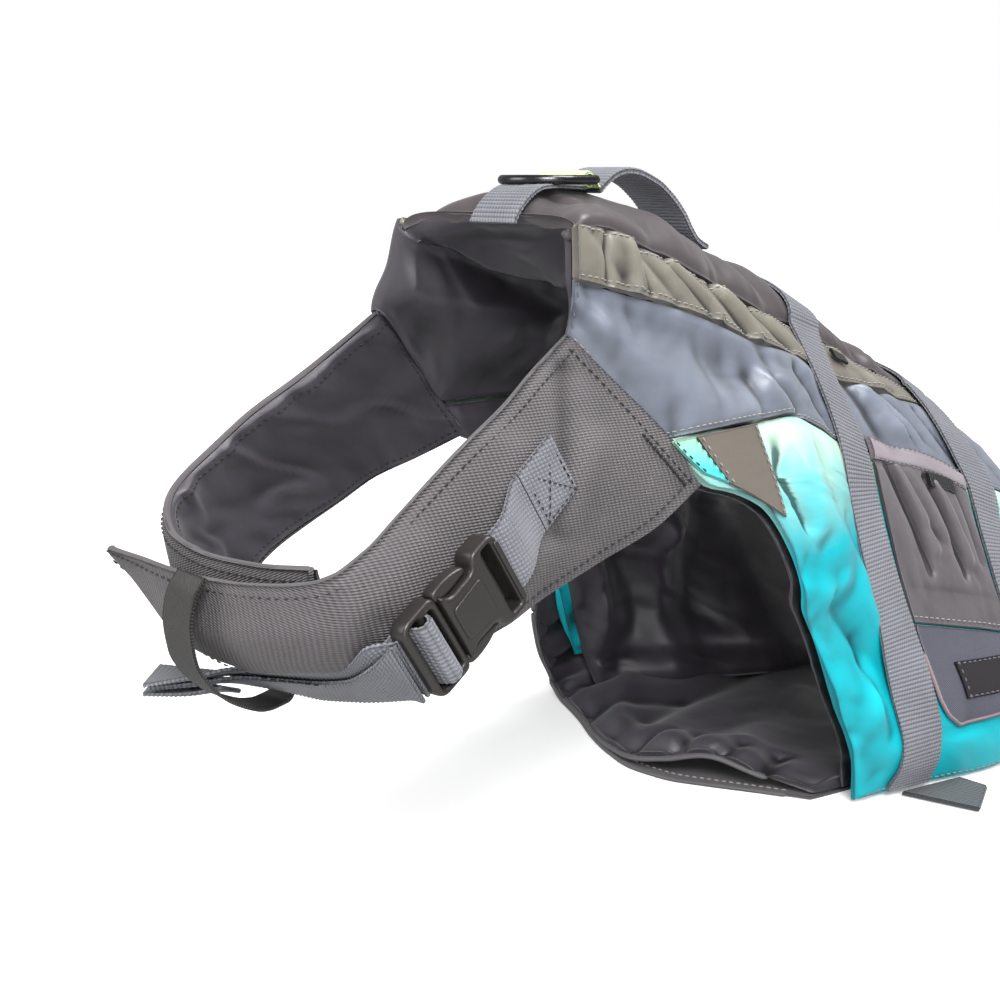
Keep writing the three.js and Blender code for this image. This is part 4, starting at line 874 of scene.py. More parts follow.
@dataclass
class Panel:
    """Padded or plain cloth panel that follows the body between two lines."""

    name: str
    node: str
    v_low: float
    v_high: float
    front: Callable[[Array], Array]
    rear: Callable[[Array], Array]
    finish: Finish
    thick: float
    lift: float = 0.0
    puff: float = 1.4
    pucker: float = 0.55
    ripple: float = 0.5
    seed: int = 1
    count: tuple[int, int] = (150, 60)
    rim: float = 0.5
    folds: tuple = ()
    held: str = "stretched"
    calm: tuple = ()
    wrap: Callable[[Array], Array] | None = None
    roll: float = 0.0
    sag: float = 0.0
    sharp: float = 0.0
    grid: Array | None = None
    out: Array | None = None

    def places(self) -> tuple[Array, Array]:
        """Lengths and lines of the grid, closer together towards the front."""
        u = np.linspace(0, 1, self.count[0])[:, None]
        u = 0.75 * u + 0.25 * u**2
        v = np.linspace(self.v_low, self.v_high, self.count[1])[None, :]
        start, stop = self.front(np.abs(v)), self.rear(np.abs(v))
        return start + (stop - start) * u, np.broadcast_to(v, (self.count[0], self.count[1]))

    def relief(self, x: Array, v: Array, plain: Array) -> Array:
        """Swell between the seams, puckers that die away from them, ripples and listed folds."""
        noise = Noise(self.seed)
        s, t = arc(plain, 0), arc(plain, 1)
        near_v = np.minimum(t, t[:, -1:] - t)
        near_u = np.minimum(s, s[-1:] - s)
        near = np.minimum(near_v, near_u)
        swell = self.puff * (1 - np.exp(-near / 7.0)) - 0.55 * self.puff * np.exp(-((near / 2.2) ** 2))
        pucker = self.pucker * (np.exp(-near_v / 7) * noise(s / 6.5, 3.3 + np.sign(v))
                                + np.exp(-near_u / 7) * noise(t / 6.5, 9.1))
        ripple = self.ripple * (noise.soft(s / 34, t / 20) + 0.5 * noise.soft(s / 13 + t / 30, t / 15))
        line = noise.soft(s / 52 + t / 90, t / 30 + 11.7)
        crack = -self.sharp * np.exp(-((line / 0.10) ** 2)) * np.clip(0.5 + noise(s / 40, t / 40 + 5), 0, 1)
        height = swell + pucker * (1 - np.exp(-near / 1.2)) + (ripple + crack) * (1 - np.exp(-near / 5))
        height = height + creases(self.folds, x, v) - self.roll * np.exp(-x / 6.5)
        flat = (1 - v**2).clip(0, 1) ** 0.7
        height = height - self.sag * flat * smooth(x / 46) * (1 - smooth((x - 46) / 80))
        if self.lift < -2:
            return np.minimum(height, 0.4)
        still = np.zeros_like(height)
        for x0, x1, v0, v1 in self.calm:
            along = smooth((x - x0) / 8) * smooth((x1 - x) / 8)
            inside = along * smooth((np.abs(v) - v0) / 0.25) * smooth((v1 - np.abs(v)) / 0.25)
            still = np.maximum(still, inside)
        held = np.maximum(np.exp(-(((x - STRAP_1_X) / 15) ** 4)), np.exp(-(((x - STRAP_2_X) / 15) ** 4)))
        height = height * (1 - 0.75 * held) * (1 - 0.85 * still)
        height = height - 0.4 * held
        back = smooth((x - 190) / 40) * np.clip(1.15 - v**2, 0, 1)
        return height - 3.6 * back

    def front_rows(self, start: Array, v: Array) -> tuple[Array, Array]:
        """Places and heights of the turned edge that goes round the front of the outer panels."""
        full = self.wrap(v)
        rows = ((2.5, 1.5), (0.4, 1.7), (-1.2, 1.0), (-2.0, -1.2), (-2.2, -3.6), (-2.0, -6.0), (-0.6, -8.4))
        dx = np.array([r[0] for r in rows])[:, None]
        h = np.array([r[1] for r in rows])[:, None]
        low = -4.6 - 0.55 * np.arange(len(rows))[:, None]
        return start + dx * full + (1 - full) * np.linspace(-0.4, -0.1, len(rows))[:, None], h * full + low * (1 - full)

    def build(self) -> bpy.types.Object:
        x, v = self.places()
        plain = BODY.plain(x, v)
        height = self.lift + self.relief(x, v, plain)
        outer = BODY.at(x, v, height)
        self.grid = outer
        self.out = BODY.normal(x, v)
        if self.wrap is not None:
            fx, fh = self.front_rows(x[:1], v[:1])
            turned = BODY.at(fx, np.broadcast_to(v[:1], fx.shape), fh)
            keep = 2
            face = np.concatenate([turned, BODY.at(x, v, height - self.thick)[keep:]])
            normal = grid_normals(face)
            if float((normal[20:] * self.out[15:15 + len(normal[20:])]).sum(-1).mean()) < 0:
                normal = -normal
            made = SHOP.shell(self.name, face + normal * 0.9, face, self.finish)
            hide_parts(self.node)
            self.grid, self.out = face, -normal
            return declare(made, plain)
        s, t = arc(plain, 0), arc(plain, 1)
        near = np.minimum(np.minimum(t, t[:, -1:] - t), np.minimum(s, s[-1:] - s))
        wall = self.thick * (1 - self.rim * np.exp(-((near / 6) ** 2)))
        inner = BODY.at(x, v, height - wall) if self.thick < 3 else BODY.at(x, v, self.lift - wall)
        made = SHOP.shell(self.name, outer, inner, self.finish)
        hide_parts(self.node)
        if self.thick > 4:
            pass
        else:
            declare(made, plain)
        return made

    def sew(self, name: str, finish: Finish, column: int | None = None, row: int | None = None,
            rows: slice = slice(2, -2), **sizes: float) -> None:
        """Stitches along one column or row of the panel's own points."""
        pick = (rows, column) if column is not None else (row, rows)
        SHOP.stitches(name, self.grid[pick] + self.out[pick] * 0.15, self.out[pick], finish, **sizes)


def rear_of(v: Array) -> Array:
    """Rear outline of the back."""
    return BODY.rear(np.abs(v))


def leg_of(v: Array) -> Array:
    """Front outline of the side panels."""
    return BODY.leg(np.abs(v))


def set_back(reach: float, line: float, span: float, start: float = 0.0) -> Callable[[Array], Array]:
    """Front outline of a side, moved back by start, and by reach more below a line."""
    return lambda v: leg_of(v) + start + reach * smooth((np.abs(v) - line) / span)


PAD_FOLDS = (
    (2, -0.35, 16, -0.05, -3, 4), (2, 0.55, 22, 0.35, -3.3, 5), (20, 0.2, 60, 0.8, -1.8, 6),
    (60, 0.9, 84, 0.3, 1.8, 6), (104, 0.9, 118, 0.3, -2.4, 5), (130, 0.2, 146, 0.9, -2.1, 6),
    (196, -0.8, 230, 0.8, -2.4, 7), (236, 0.9, 250, 0.1, 2.1, 6), (290, -0.6, 312, 0.8, -2.4, 7),
    (4, -0.8, 24, -0.5, -3, 5), (70, -0.9, 100, -0.4, -2.1, 7), (8, 0.05, 26, 0.1, 2.1, 5),
)
YOKE_FOLDS = (
    (8, 2.22, 96, 2.62, -5.0, 8), (14, 2.5, 88, 2.85, 4.0, 6), (4, 2.75, 40, 2.93, -3.4, 7),
    (112, 2.62, 128, 2.95, -3.2, 3), (106, 2.6, 122, 2.95, 2.4, 3.4), (140, 2.3, 160, 2.8, -3.0, 3.4),
    (146, 2.3, 166, 2.8, 2.2, 3.2), (212, 2.1, 230, 2.85, -4.0, 2.4), (250, 2.2, 262, 2.85, -3.4, 2.4),
    (216, 2.1, 235, 2.85, 2.0, 3), (6, 2.35, 70, 2.62, 2.4, 7), (20, 2.55, 66, 2.8, -2.4, 6),
    (30, 2.2, 84, 2.3, -1.6, 5), (70, 2.5, 112, 2.28, -2.7, 7), (96, 2.75, 146, 2.42, 2.2, 7),
    (118, 2.3, 160, 2.62, -2.7, 6), (205, 2.15, 226, 2.9, 2.4, 6), (218, 2.1, 246, 2.8, -3, 5),
    (290, 2.2, 308, 2.8, -2.4, 6), (50, 2.88, 92, 2.9, 1.2, 5), (196, 2.1, 206, 2.9, -2.2, 5),
)
STRIP_FOLDS = (
    (18, 1.1, 17, 1.9, -2.6, 2.2), (30, 1.1, 33, 1.9, 2.2, 2.6), (36, 1.1, 42, 1.9, -2.4, 2.2),
    (62, 1.1, 84, 1.9, 2.4, 3.0), (58, 1.1, 79, 1.9, -2.6, 2.4), (92, 1.1, 108, 1.9, -2.6, 2.4),
    (124, 1.1, 146, 1.9, -2.2, 2.4), (97, 1.1, 114, 1.9, 2.2, 2.8), (10, 1.2, 26, 1.8, -1.4, 3.6),
    (26, 1.1, 42, 1.8, 1.3, 4), (40, 1.15, 58, 1.9, -1.7, 3.6), (60, 1.2, 80, 1.85, 1.4, 4),
    (84, 1.15, 104, 1.85, -1.7, 4), (100, 1.2, 122, 1.8, 1.3, 4), (118, 1.2, 140, 1.85, -1.6, 4),
    (140, 1.2, 158, 1.8, 1.3, 4), (200, 1.1, 222, 1.9, 1.6, 4), (216, 1.2, 238, 1.8, -1.6, 4),
    (288, 1.2, 306, 1.8, -1.6, 4),
)
WING_FOLDS = (
    (128, 5.25, 168, 6.2, -4.6, 4.5), (134, 5.0, 172, 5.9, 2.4, 5), (101, 3.5, 110, 4.0, -4.4, 3.4),
    (108, 3.5, 116, 4.1, 2.0, 4.5), (152, 6.2, 160, 6.85, -4.2, 5), (138, 6.9, 150, 6.4, 2.4, 6),
    (100, 3.5, 118, 4.3, -3.0, 7), (118, 3.7, 134, 4.5, 2.0, 8), (106, 4.6, 142, 5.2, -3.0, 6),
    (118, 5.05, 164, 5.15, 2.2, 7), (116, 5.5, 160, 6.5, -3.0, 7), (128, 6.3, 156, 6.6, 2.2, 6),
    (140, 6.8, 154, 7.5, -2.6, 6), (150, 4.2, 166, 5.0, -2.4, 6), (200, 7.2, 250, 7.5, 1.8, 7),
    (126, 3.3, 152, 3.8, 1.4, 8), (208, 3.8, 240, 5.0, 1.0, 10), (270, 3.4, 300, 5.2, 1.8, 8),
    (280, 6.2, 302, 7.2, -2.2, 7), (284, 4.2, 312, 5.6, -2.0, 7),
)


@dataclass
class Back:
    """Spine pad, reflective strips, yokes and side panels, with their stitched seams."""

    gap: float = 0.018

    def build(self) -> None:
        """Makes every outer panel."""
        edge = 1 - 2 * self.gap
        pad = Panel("spine_pad_cloth", "spine_pad", -edge, edge, lambda v: 1.5 * (1 - v**2), rear_of, PAD, 7.4,
                    puff=1.7, pucker=1.0, ripple=1.1, seed=3, count=(184, 72), roll=5.5, sharp=0.9, folds=PAD_FOLDS)
        pad.build()
        for side, label in ((1, "left"), (-1, "right")):
            strip = Panel(f"strip_{label}_cloth", f"strip_{label}", side * (1 + self.gap), side * (2 - self.gap),
                          lambda v: 0.4 + 0 * v, rear_of, STRIP, 7.2, puff=0.5, pucker=0.8, ripple=0.6, seed=11 + side,
                          count=(220, 26), folds=STRIP_FOLDS if side > 0 else mirrored(STRIP_FOLDS))
            strip.build()
            strip.sew(f"stitches_strip_top_{label}", WHITE_THREAD, column=2)
            strip.sew(f"stitches_strip_low_{label}", WHITE_THREAD, column=-3)
            yoke = Panel(f"yoke_{label}_cloth", f"yoke_{label}", side * (2 + self.gap), side * (3 - self.gap),
                         lambda v: 0.4 + 0 * v, rear_of, YOKE, 7.2, puff=1.4, pucker=0.6, ripple=0.8, seed=21 + side,
                         count=(190, 48), folds=YOKE_FOLDS if side > 0 else mirrored(YOKE_FOLDS),
                         calm=((182, 262, 2.6, 3.2),) if side > 0 else (), sharp=0.6)
            yoke.build()
            yoke.sew(f"stitches_yoke_low_{label}", WHITE_THREAD, column=-3)
            yoke.sew(f"stitches_yoke_front_{label}", GREY_THREAD, row=1, rows=slice(2, 40))
            foot = 7.98 if side > 0 else 7.18
            front = set_back(0.0, 5, 0.8) if side > 0 else set_back(8.0, 5, 0.8)
            wing = Panel(f"wing_{label}_cloth", f"wing_{label}", side * 3.018, side * foot, front, rear_of, WING, 7.2,
                         puff=1.7, pucker=0.8, ripple=1.0, seed=31 + side, count=(120, 106), sharp=0.5,
                         folds=WING_FOLDS if side > 0 else mirrored(WING_FOLDS),
                         calm=((180, 262, 2.9, 7.2), (30, 93, 2.8, 4.0)) if side > 0 else ((30, 93, 2.8, 4.0),))
            wing.build()
            wing.sew(f"stitches_wing_foot_{label}", WHITE_THREAD, column=-3, rows=slice(6, -4))


def mirrored(rows: Sequence[Sequence[float]]) -> tuple:
    """The same creases on the other side of the back."""
    return tuple((a, -b, c, -d, e, f) for a, b, c, d, e, f in rows)


LINING_FOLDS_BACK = (
    (4, -2.02, 78, -2.25, -8.0, 10), (8, -1.72, 50, -1.62, 3.0, 8), (24, -2.6, 84, -2.8, 3.5, 9),
    (30, -2.75, 60, -2.45, -3.0, 6), (150, -2.2, 160, 2.0, -3.0, 14), (20, 0.1, 40, 0.7, -3.0, 7),
    (6, -0.6, 34, -0.8, -3.0, 6), (36, 1.7, 80, 2.3, -2.5, 8), (4, 0.7, 30, 0.3, 2.5, 6),
    (250, -2.0, 262, 1.8, -3.0, 15),
)
LINING_FOLDS_LEFT = (
    (120, 4.4, 150, 7.6, -5.0, 12), (210, 3.5, 214, 7.5, -5.0, 12), (285, 3.6, 290, 7.4, -4.0, 12),
    (170, 3.6, 182, 7.4, -3.0, 9), (250, 3.5, 256, 7.3, -4.0, 10),
)
LINING_FOLDS_RIGHT = (
    (150, 3.4, 184, 5.2, -11.0, 13), (184, 5.2, 196, 7.6, -9.0, 12), (132, 4.8, 160, 6.6, -6.0, 8),
    (158, 6.4, 162, 7.4, -4.0, 7), (212, 3.4, 250, 7.4, -9.0, 22), (140, 3.6, 168, 4.4, -4.0, 6),
    (290, 3.6, 292, 7.0, -6.0, 14), (128, 4.2, 150, 4.6, -3.0, 6), (150, 7.0, 260, 7.3, -3.0, 7),
)


@dataclass
class Linings:
    """Satin behind the back and both sides."""

    out: float = -8.4

    def build(self) -> None:
        """Makes the three linings."""
        back = Panel("lining_back_satin", "lining_back", -2.97, 2.97, lambda v: 1.2 + 0 * v, lambda v: rear_of(v) - 1.5,
                     SATIN, 1.2, lift=self.out, puff=-1.5, pucker=1.4, ripple=1.6, seed=41, count=(142, 112), rim=0.2,
                     sag=27.0, sharp=0.8, wrap=lambda v: smooth((-1.0 - v) / 0.14),
                     folds=LINING_FOLDS_BACK)
        back.build()
        for side, label, folds in ((1, "left", LINING_FOLDS_LEFT), (-1, "right", mirrored(LINING_FOLDS_RIGHT))):
            foot = 7.96 if side > 0 else 7.9
            rearward = 0.0 if side > 0 else 13.0
            edge = set_back(rearward, 4.4, 1.2, 0.9)
            turned = None if side > 0 else lambda v: smooth((4.9 - np.abs(v)) / 0.5)
            Panel(f"lining_{label}_satin", f"lining_{label}", side * 3.02, side * foot, edge,
                  lambda v: rear_of(v) - 1.5, SATIN, 1.2, lift=self.out, puff=-1.5, pucker=1.2, ripple=1.6,
                  seed=51 + side, count=(104, 104), rim=0.2, sharp=0.7, folds=folds, wrap=turned).build()


# ---------------------------------------------------------------- belly panel


BELLY_FOLDS = (
    (2, 0.9, 26, 1.3, -3.9, 4), (2, 1.7, 22, 1.9, -3.6, 4), (2, 2.6, 30, 2.9, -3.9, 5),
    (2, 3.6, 24, 3.4, -3.3, 4), (4, 5.6, 60, 5, -3.9, 7), (4, 6.9, 40, 6.6, -3.3, 5),
    (2, 7.8, 26, 7.7, -3.6, 4), (2, 8.6, 30, 8.5, -3.3, 4), (30, 2, 120, 3.6, 4.2, 10),
    (30, 4.4, 130, 5.6, -4.5, 10), (60, 0.6, 150, 1, -3.6, 9), (12, 4.6, 40, 6.4, 3.6, 9),
)


@dataclass
class Belly:
    """Belly panel: a cover on the floor, padded satin inside it, and its bound front edge."""

    cover: float = 1.6
    pad: float = 6.2
    gap: float = 0.8
    side_share: float = 0.6
    corner: float = 16.0
    angles: tuple[float, ...] = (-68, -46, -24)
    near_setback: float = 13.5
    floor_count: int = 8
    arch: tuple[float, ...] = (-28, 116, 13, 20, 34)

    def path(self, x: Array) -> Array:
        """Outer outline (len(x), points, 2): floor, round corner, then up the right side."""
        near = -(BODY.foot_left(x) - self.near_setback)
        centre = BODY.foot_right(x) - 4.5
        t = np.linspace(0, 1, self.floor_count + 1)
        floor = np.stack([near[:, None] + (centre - near)[:, None] * t, 0 * near[:, None] + 0 * t], axis=-1)
        a = np.radians(np.array(self.angles))
        height = 0 * centre[:, None] + self.corner * (1 + np.sin(a))
        turn = np.stack([centre[:, None] + self.corner * np.cos(a), height], axis=-1)
        out = self.cover + self.pad * self.side_share + self.gap + 2.5
        side = np.stack([BODY.at(x, np.full_like(x, -row[0]), out)[:, 1:] for row in BELLY_SIDE], axis=1)
        return np.concatenate([floor, turn, side], axis=1)

    def grid(self, inset: float, front_set: float, extra: float, fine: int = 10, rows: int = 64) -> tuple[Array, Array]:
        """Points of the panel at a depth inside its outer face, and their normals into the hollow."""
        low = self.path(np.array([150.0]))[0]
        floor_x = curve(BELLY_FLOOR_FRONT)
        turn = self.floor_count + 1 + len(self.angles)
        front = np.concatenate([floor_x(low[:turn, 0]), np.array([r[1] for r in BELLY_SIDE], float)]) + front_set
        u = np.linspace(0, 1, rows)[:, None]
        u = 0.5 * u + 0.5 * u**2
        x = front[None] + (BELLY_REAR_X - front_set - front)[None] * u
        coarse = np.stack([self.path(x[:, j])[:, j] for j in range(x.shape[1])], axis=1)
        before, after = np.roll(coarse, 1, axis=1), np.roll(coarse, -1, axis=1)
        before[:, 0], after[:, -1] = coarse[:, 0], coarse[:, -1]
        flat = np.arange(x.shape[1]) <= self.floor_count
        d = after - before
        n = unit(np.stack([-d[..., 1], d[..., 0]], axis=-1))
        n[:, flat] = (0, 1)
        pad = max(inset - self.cover - self.gap, 0)
        ay, ax, rise, sx, sy = self.arch
        reach = np.exp(-(((coarse[..., 0] - ay) / sy) ** 2)) * np.exp(-(((x - ax) / sx) ** 2))
        depth = inset + np.where(flat[None], rise * reach * (extra > 0), pad * (self.side_share - 1))
        yz = coarse + n * depth[..., None]
        points = np.concatenate([x[..., None], yz], axis=-1)
        knots = np.arange(x.shape[1], dtype=float)
        at = np.linspace(0, x.shape[1] - 1, (x.shape[1] - 1) * fine + 1)
        many = np.stack([np.stack([hermite(knots, points[i, :, k], at) for k in range(3)], -1) for i in range(rows)])
        return many, grid_normals(many)

    def build(self) -> None:
        """Makes the cover, the padded satin and the binding."""
        low, _ = self.grid(0.0, 0, 0)
        high, _ = self.grid(self.cover, 0, 0)
        cover = SHOP.shell("belly_cover_cloth", low, high, COVER)
        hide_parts("belly_cover")
        declare(cover, low)
        inset = self.cover + self.gap
        under, _ = self.grid(inset, 1.5, 1)
        top, normal = self.grid(inset + self.pad, 1.5, 1)
        if float(normal[:, 20, 2].mean()) < 0:
            normal = -normal
        s, t = arc(top, 0), arc(top, 1)
        noise = Noise(71)
        near = np.minimum(s, 400)
        bulge = 1.8 * (1 - np.exp(-near / 9)) * (1 - np.exp(-np.minimum(t, t[:, -1:] - t) / 8))
        pucker = 1.5 * np.exp(-near / 12) * noise(t / 7.5, 0.4) * (1 - np.exp(-near / 1.5))
        ripple = 2.0 * noise.soft(s / 40, t / 26) * (1 - np.exp(-near / 8))
        lip = -3.6 * np.exp(-((near / 7.5) ** 2))
        folds = creases(BELLY_FOLDS, s, t / 26)
        top = top + normal * (bulge + pucker + ripple + lip + folds)[..., None]
        pad = SHOP.shell("belly_pad_satin", top, under, SATIN)
        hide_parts("belly_pad")
        edge = low[0] + np.array([0.0, 0.0, 0.9])
        keep = edge[4:-4]
        SHOP.tube("belly_cover_binding", resample(keep, 2.0)[0], 1.5, COVER, flat=0.7)
        lower = under[0, 8:86] + np.array([-0.6, 0.0, -0.2])
        SHOP.tube("belly_pad_binding", resample(lower, 2.0)[0], 1.7, COVER, flat=0.7)
        line = high[3, 6:-6]
        upward = np.tile([0.0, 0.0, 1.0], (len(line), 1))
        SHOP.stitches("stitches_belly_front", line + np.array([0, 0, 0.1]), upward, WHITE_THREAD)


# ---------------------------------------------------------------- neck band


class Band:
    """Surface of one neck band half: s runs along it in table rows, w from its upper to its lower edge."""

    def __init__(self, table: Sequence[Sequence[float]]) -> None:
        rows = np.asarray(table, float)
        keys = np.arange(len(rows), dtype=float)
        self.rows = len(rows) - 1
        self.of = {name: curve(np.stack([keys, rows[:, k]], axis=1)) for k, name in enumerate(BAND_COLUMNS)}
        self.centre = np.array([-40.0, 0.0, 150.0])

    def plain(self, s: Array, w: Array) -> Array:
        """Straight between the two edges."""
        top = np.stack([self.of[k](s) for k in ("ux", "uy", "uz")], axis=-1)
        low = np.stack([self.of[k](s) for k in ("lx", "ly", "lz")], axis=-1)
        return top + (low - top) * np.asarray(w)[..., None]

    def facing(self, f: Callable[[Array, Array], Array], s: Array, w: Array) -> Array:
        """Unit normals of a surface, away from the middle of the neck."""
        along = f(s + 0.05, w) - f(s - 0.05, w)
        across = f(s, w + 0.02) - f(s, w - 0.02)
        n = unit(np.cross(across, along))
        flip = ((f(s, w) - self.centre) * n).sum(-1, keepdims=True) < 0
        return np.where(flip, -n, n)

    def curved(self, s: Array, w: Array) -> Array:
        """Plain surface with its outward swell, belly * 4 w (1 - w)."""
        swell = self.of["belly"](s) * 4 * w * (1 - w)
        return self.plain(s, w) + self.facing(self.plain, s, w) * swell[..., None]

    def at(self, s: Array, w: Array, out: Array | float) -> Array:
        """Point moved out from the band."""
        s, w = np.broadcast_arrays(np.asarray(s, float), np.asarray(w, float))
        return self.curved(s, w) + self.facing(self.curved, s, w) * np.asarray(out + 0 * s)[..., None]


# Along the band and across it, in millimetres and 26ths of them
BAND_FOLDS = (
    (150, 0.9, 190, 1.9, -1.8, 8), (60, 0.6, 100, 1.4, 1.4, 9), (16, 0.3, 70, 1.9, -1.8, 6),
    (30, 1.4, 110, 2.3, 1.2, 8), (96, 1.9, 240, 1.95, -2.2, 7), (120, 0.4, 230, 0.7, 1.2, 9),
)


@dataclass
class NeckBand:
    """Both halves of the neck band with their satin, their rolled edges and stitches."""

    thick: float = 3.0
    lining: float = 1.2
    gap: float = 0.9

    def half(self, band: Band, label: str, lining_rows: float, folds: tuple, seed: int) -> None:
        """One half: oxford cloth outside, puckered satin inside."""
        noise = Noise(seed)
        s = np.linspace(-0.14, band.rows, 190)[:, None]
        w = np.linspace(-0.01, 1.01, 34)[None, :]
        plain = band.at(s, w, 0)
        along, across = arc(plain, 0), arc(plain, 1)
        near = np.minimum(across, across[:, -1:] - across)
        ripple = 0.7 * noise.soft(along / 38, across / 24) + 0.35 * np.exp(-near / 6) * noise(along / 9, 2.2)
        height = ripple * (1 - np.exp(-near / 2)) - 0.5 * np.exp(-((near / 1.6) ** 2))
        height = height + creases(folds, along, across / 26)
        outer = band.at(s, w, height)
        inner = band.at(s, w, height * 0.5 - self.thick)
        made = SHOP.shell(f"neck_band_{label}_cloth", outer, inner, OXFORD)
        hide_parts(f"neck_band_{label}")
        declare(made, plain)
        for name, edge in (("upper", 0.055), ("lower", 0.945)):
            rows = np.linspace(0.1, band.rows - 0.15, 300)
            line = np.full_like(rows, edge)
            SHOP.stitches(f"stitches_band_{name}_{label}", band.at(rows, line, 0.25),
                          band.facing(band.curved, rows, line), DARK_THREAD)
        rows = np.full(60, 0.12)
        line = np.linspace(0.05, 0.95, 60)
        SHOP.stitches(f"stitches_band_seam_{label}", band.at(rows, line, 0.25),
                      band.facing(band.curved, rows, line), DARK_THREAD)
        line = np.linspace(0.60, 0.93, 30)
        rows = np.full(30, 0.22)
        SHOP.stitches(f"stitches_band_corner_{label}", band.at(rows, line, 0.35), band.facing(band.curved, rows, line),
                      DARK_THREAD, pitch=1.9, length=1.9, radius=0.7)
        s = np.linspace(-0.16, lining_rows, 160)[:, None]
        w = 0.5 + 0.512 * np.sin(0.5 * np.pi * np.linspace(-1, 1, 44))[None, :]
        rest = band.at(s, w, -self.thick - self.gap)
        along, across = arc(rest, 0), arc(rest, 1)
        near = np.minimum(across, across[:, -1:] - across)
        line = noise.soft(along / 30 + across / 50, across / 44 + 3.7)
        satin = (-2.0 * (1 - np.exp(-near / 8)) + 1.9 * np.exp(-near / 12) * noise(along / 8.5, 5.1 + across / 60)
                 + 2.0 * noise.soft(along / 22 + across / 40, across / 26) * (1 - np.exp(-near / 6))
                 - 1.2 * np.exp(-((line / 0.12) ** 2)))
        satin = np.minimum(satin * (1 - np.exp(-near / 1.5)), 0.5)
        turn = (self.thick + 0.2) * smooth((np.abs(w - 0.5) - 0.488) / 0.02)
        depth = -self.thick - self.gap + satin + turn
        face = band.at(s, w, depth)
        made = SHOP.shell(f"band_lining_{label}_satin", face, band.at(s, w, depth - self.lining), SATIN)
        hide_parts(f"band_lining_{label}")
        declare(made, rest)
        normal = -band.facing(band.curved, *np.broadcast_arrays(s, w))
        inside = face + normal * (self.lining + 0.15)
        for name, path, out in (("up", inside[2:-2, 7], normal[2:-2, 7]), ("low", inside[2:-2, -8], normal[2:-2, -8]),
                                ("seam", inside[2, 2:-2], normal[2, 2:-2])):
            SHOP.stitches(f"stitches_band_lining_{name}_{label}", path, out, DARK_THREAD)

    def build(self) -> None:
        """Makes both halves."""
        self.half(LEFT, "left", LEFT.rows - 2, BAND_FOLDS, 81)
        self.half(RIGHT, "right", RIGHT.rows, ((40, 0.8, 80, 1.7, -1.0, 8),), 82)


LEFT = Band(LEFT_BAND)
RIGHT = Band(RIGHT_BAND)


# ---------------------------------------------------------------- webbing, buckle and chest


def ribbon_frame(table: Sequence[Sequence[float]], count: int) -> tuple[Array, Array, Array, Array]:
    """Middle line, side vectors, outward vectors and widths of a ribbon between two edge curves."""
    rows = np.asarray(table, float)
    keys = np.arange(len(rows), dtype=float)
    s = np.linspace(0, len(rows) - 1, count)
    top = np.stack([hermite(keys, rows[:, k], s) for k in range(3)], axis=-1)
    low = np.stack([hermite(keys, rows[:, k + 3], s) for k in range(3)], axis=-1)
    centre = (top + low) / 2
    side = unit(top - low)
    out = unit(np.cross(side, unit(np.gradient(centre, axis=0))))
    return centre, side, out, np.linalg.norm(top - low, axis=-1)


@dataclass
class Straps:
    """Body straps round the jacket and the loose end on the floor."""

    lift: float = 1.0

    def strap(self, name: str, node: str, x0: float, lean: float = 0.0) -> bpy.types.Object:
        """Strap over the back and down both sides, outside the belly panel on the right."""
        belt = 1.6 + 6.2 * 0.6 + 0.8 + 3.1
        v = np.linspace(7.9, -7.15, 420)
        x = x0 - 5.0 * np.exp(-(((np.abs(v) - 1.9) / 0.9) ** 2)) + lean * np.exp(-((v / 2.3) ** 2))
        low = 3.6 * smooth((x - 190) / 40) * np.clip(1.15 - v**2, 0, 1)
        out = self.lift - low + belt * smooth((-v - 5.35) / 0.4)
        centre = BODY.at(x, v, out)
        left = BODY.at(x - WEBBING_WIDTH / 2, v, out)
        right = BODY.at(x + WEBBING_WIDTH / 2, v, out)
        made = SHOP.webbing(name, centre, unit(left - right), BODY.normal(x, v), WEBBING)
        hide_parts(node)
        plain = np.stack([left, right], axis=1)
        return declare(made, plain)

    def build(self) -> None:
        """Makes the straps."""
        self.strap("strap_front_webbing", "strap_front", STRAP_1_X)
        self.strap("strap_rear_webbing", "strap_rear", STRAP_2_X, 13.0)
        corner = np.array([(170, -101, 0.6), (203, -111, 0.6), (180, -133, 0.6), (204, -124, 0.6)], float)
        grid = np.stack([np.linspace(corner[0], corner[2], 40), np.linspace(corner[1], corner[3], 40)], axis=0)
        steps = np.linspace(0, 1, 24)[:, None, None]
        flat = grid[0][None] * (1 - steps) + grid[1][None] * steps
        made = SHOP.shell("strap_tail_webbing", flat + np.array([0, 0, 2.2]), flat, TAIL)
        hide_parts("strap_tail")
        declare(made, flat)


def buckle_matrix() -> Array:
    """Columns along, across and out from the band, and the place of the buckle's middle."""
    along = unit(np.array(BUCKLE_ALONG))
    out = unit(np.array(BUCKLE_OUT))
    across = unit(np.cross(out, along))
    normal = unit(np.cross(along, across))
    made = np.eye(4)
    made[:3, 0], made[:3, 1], made[:3, 2], made[:3, 3] = along, across, normal, BUCKLE_AT
    return made


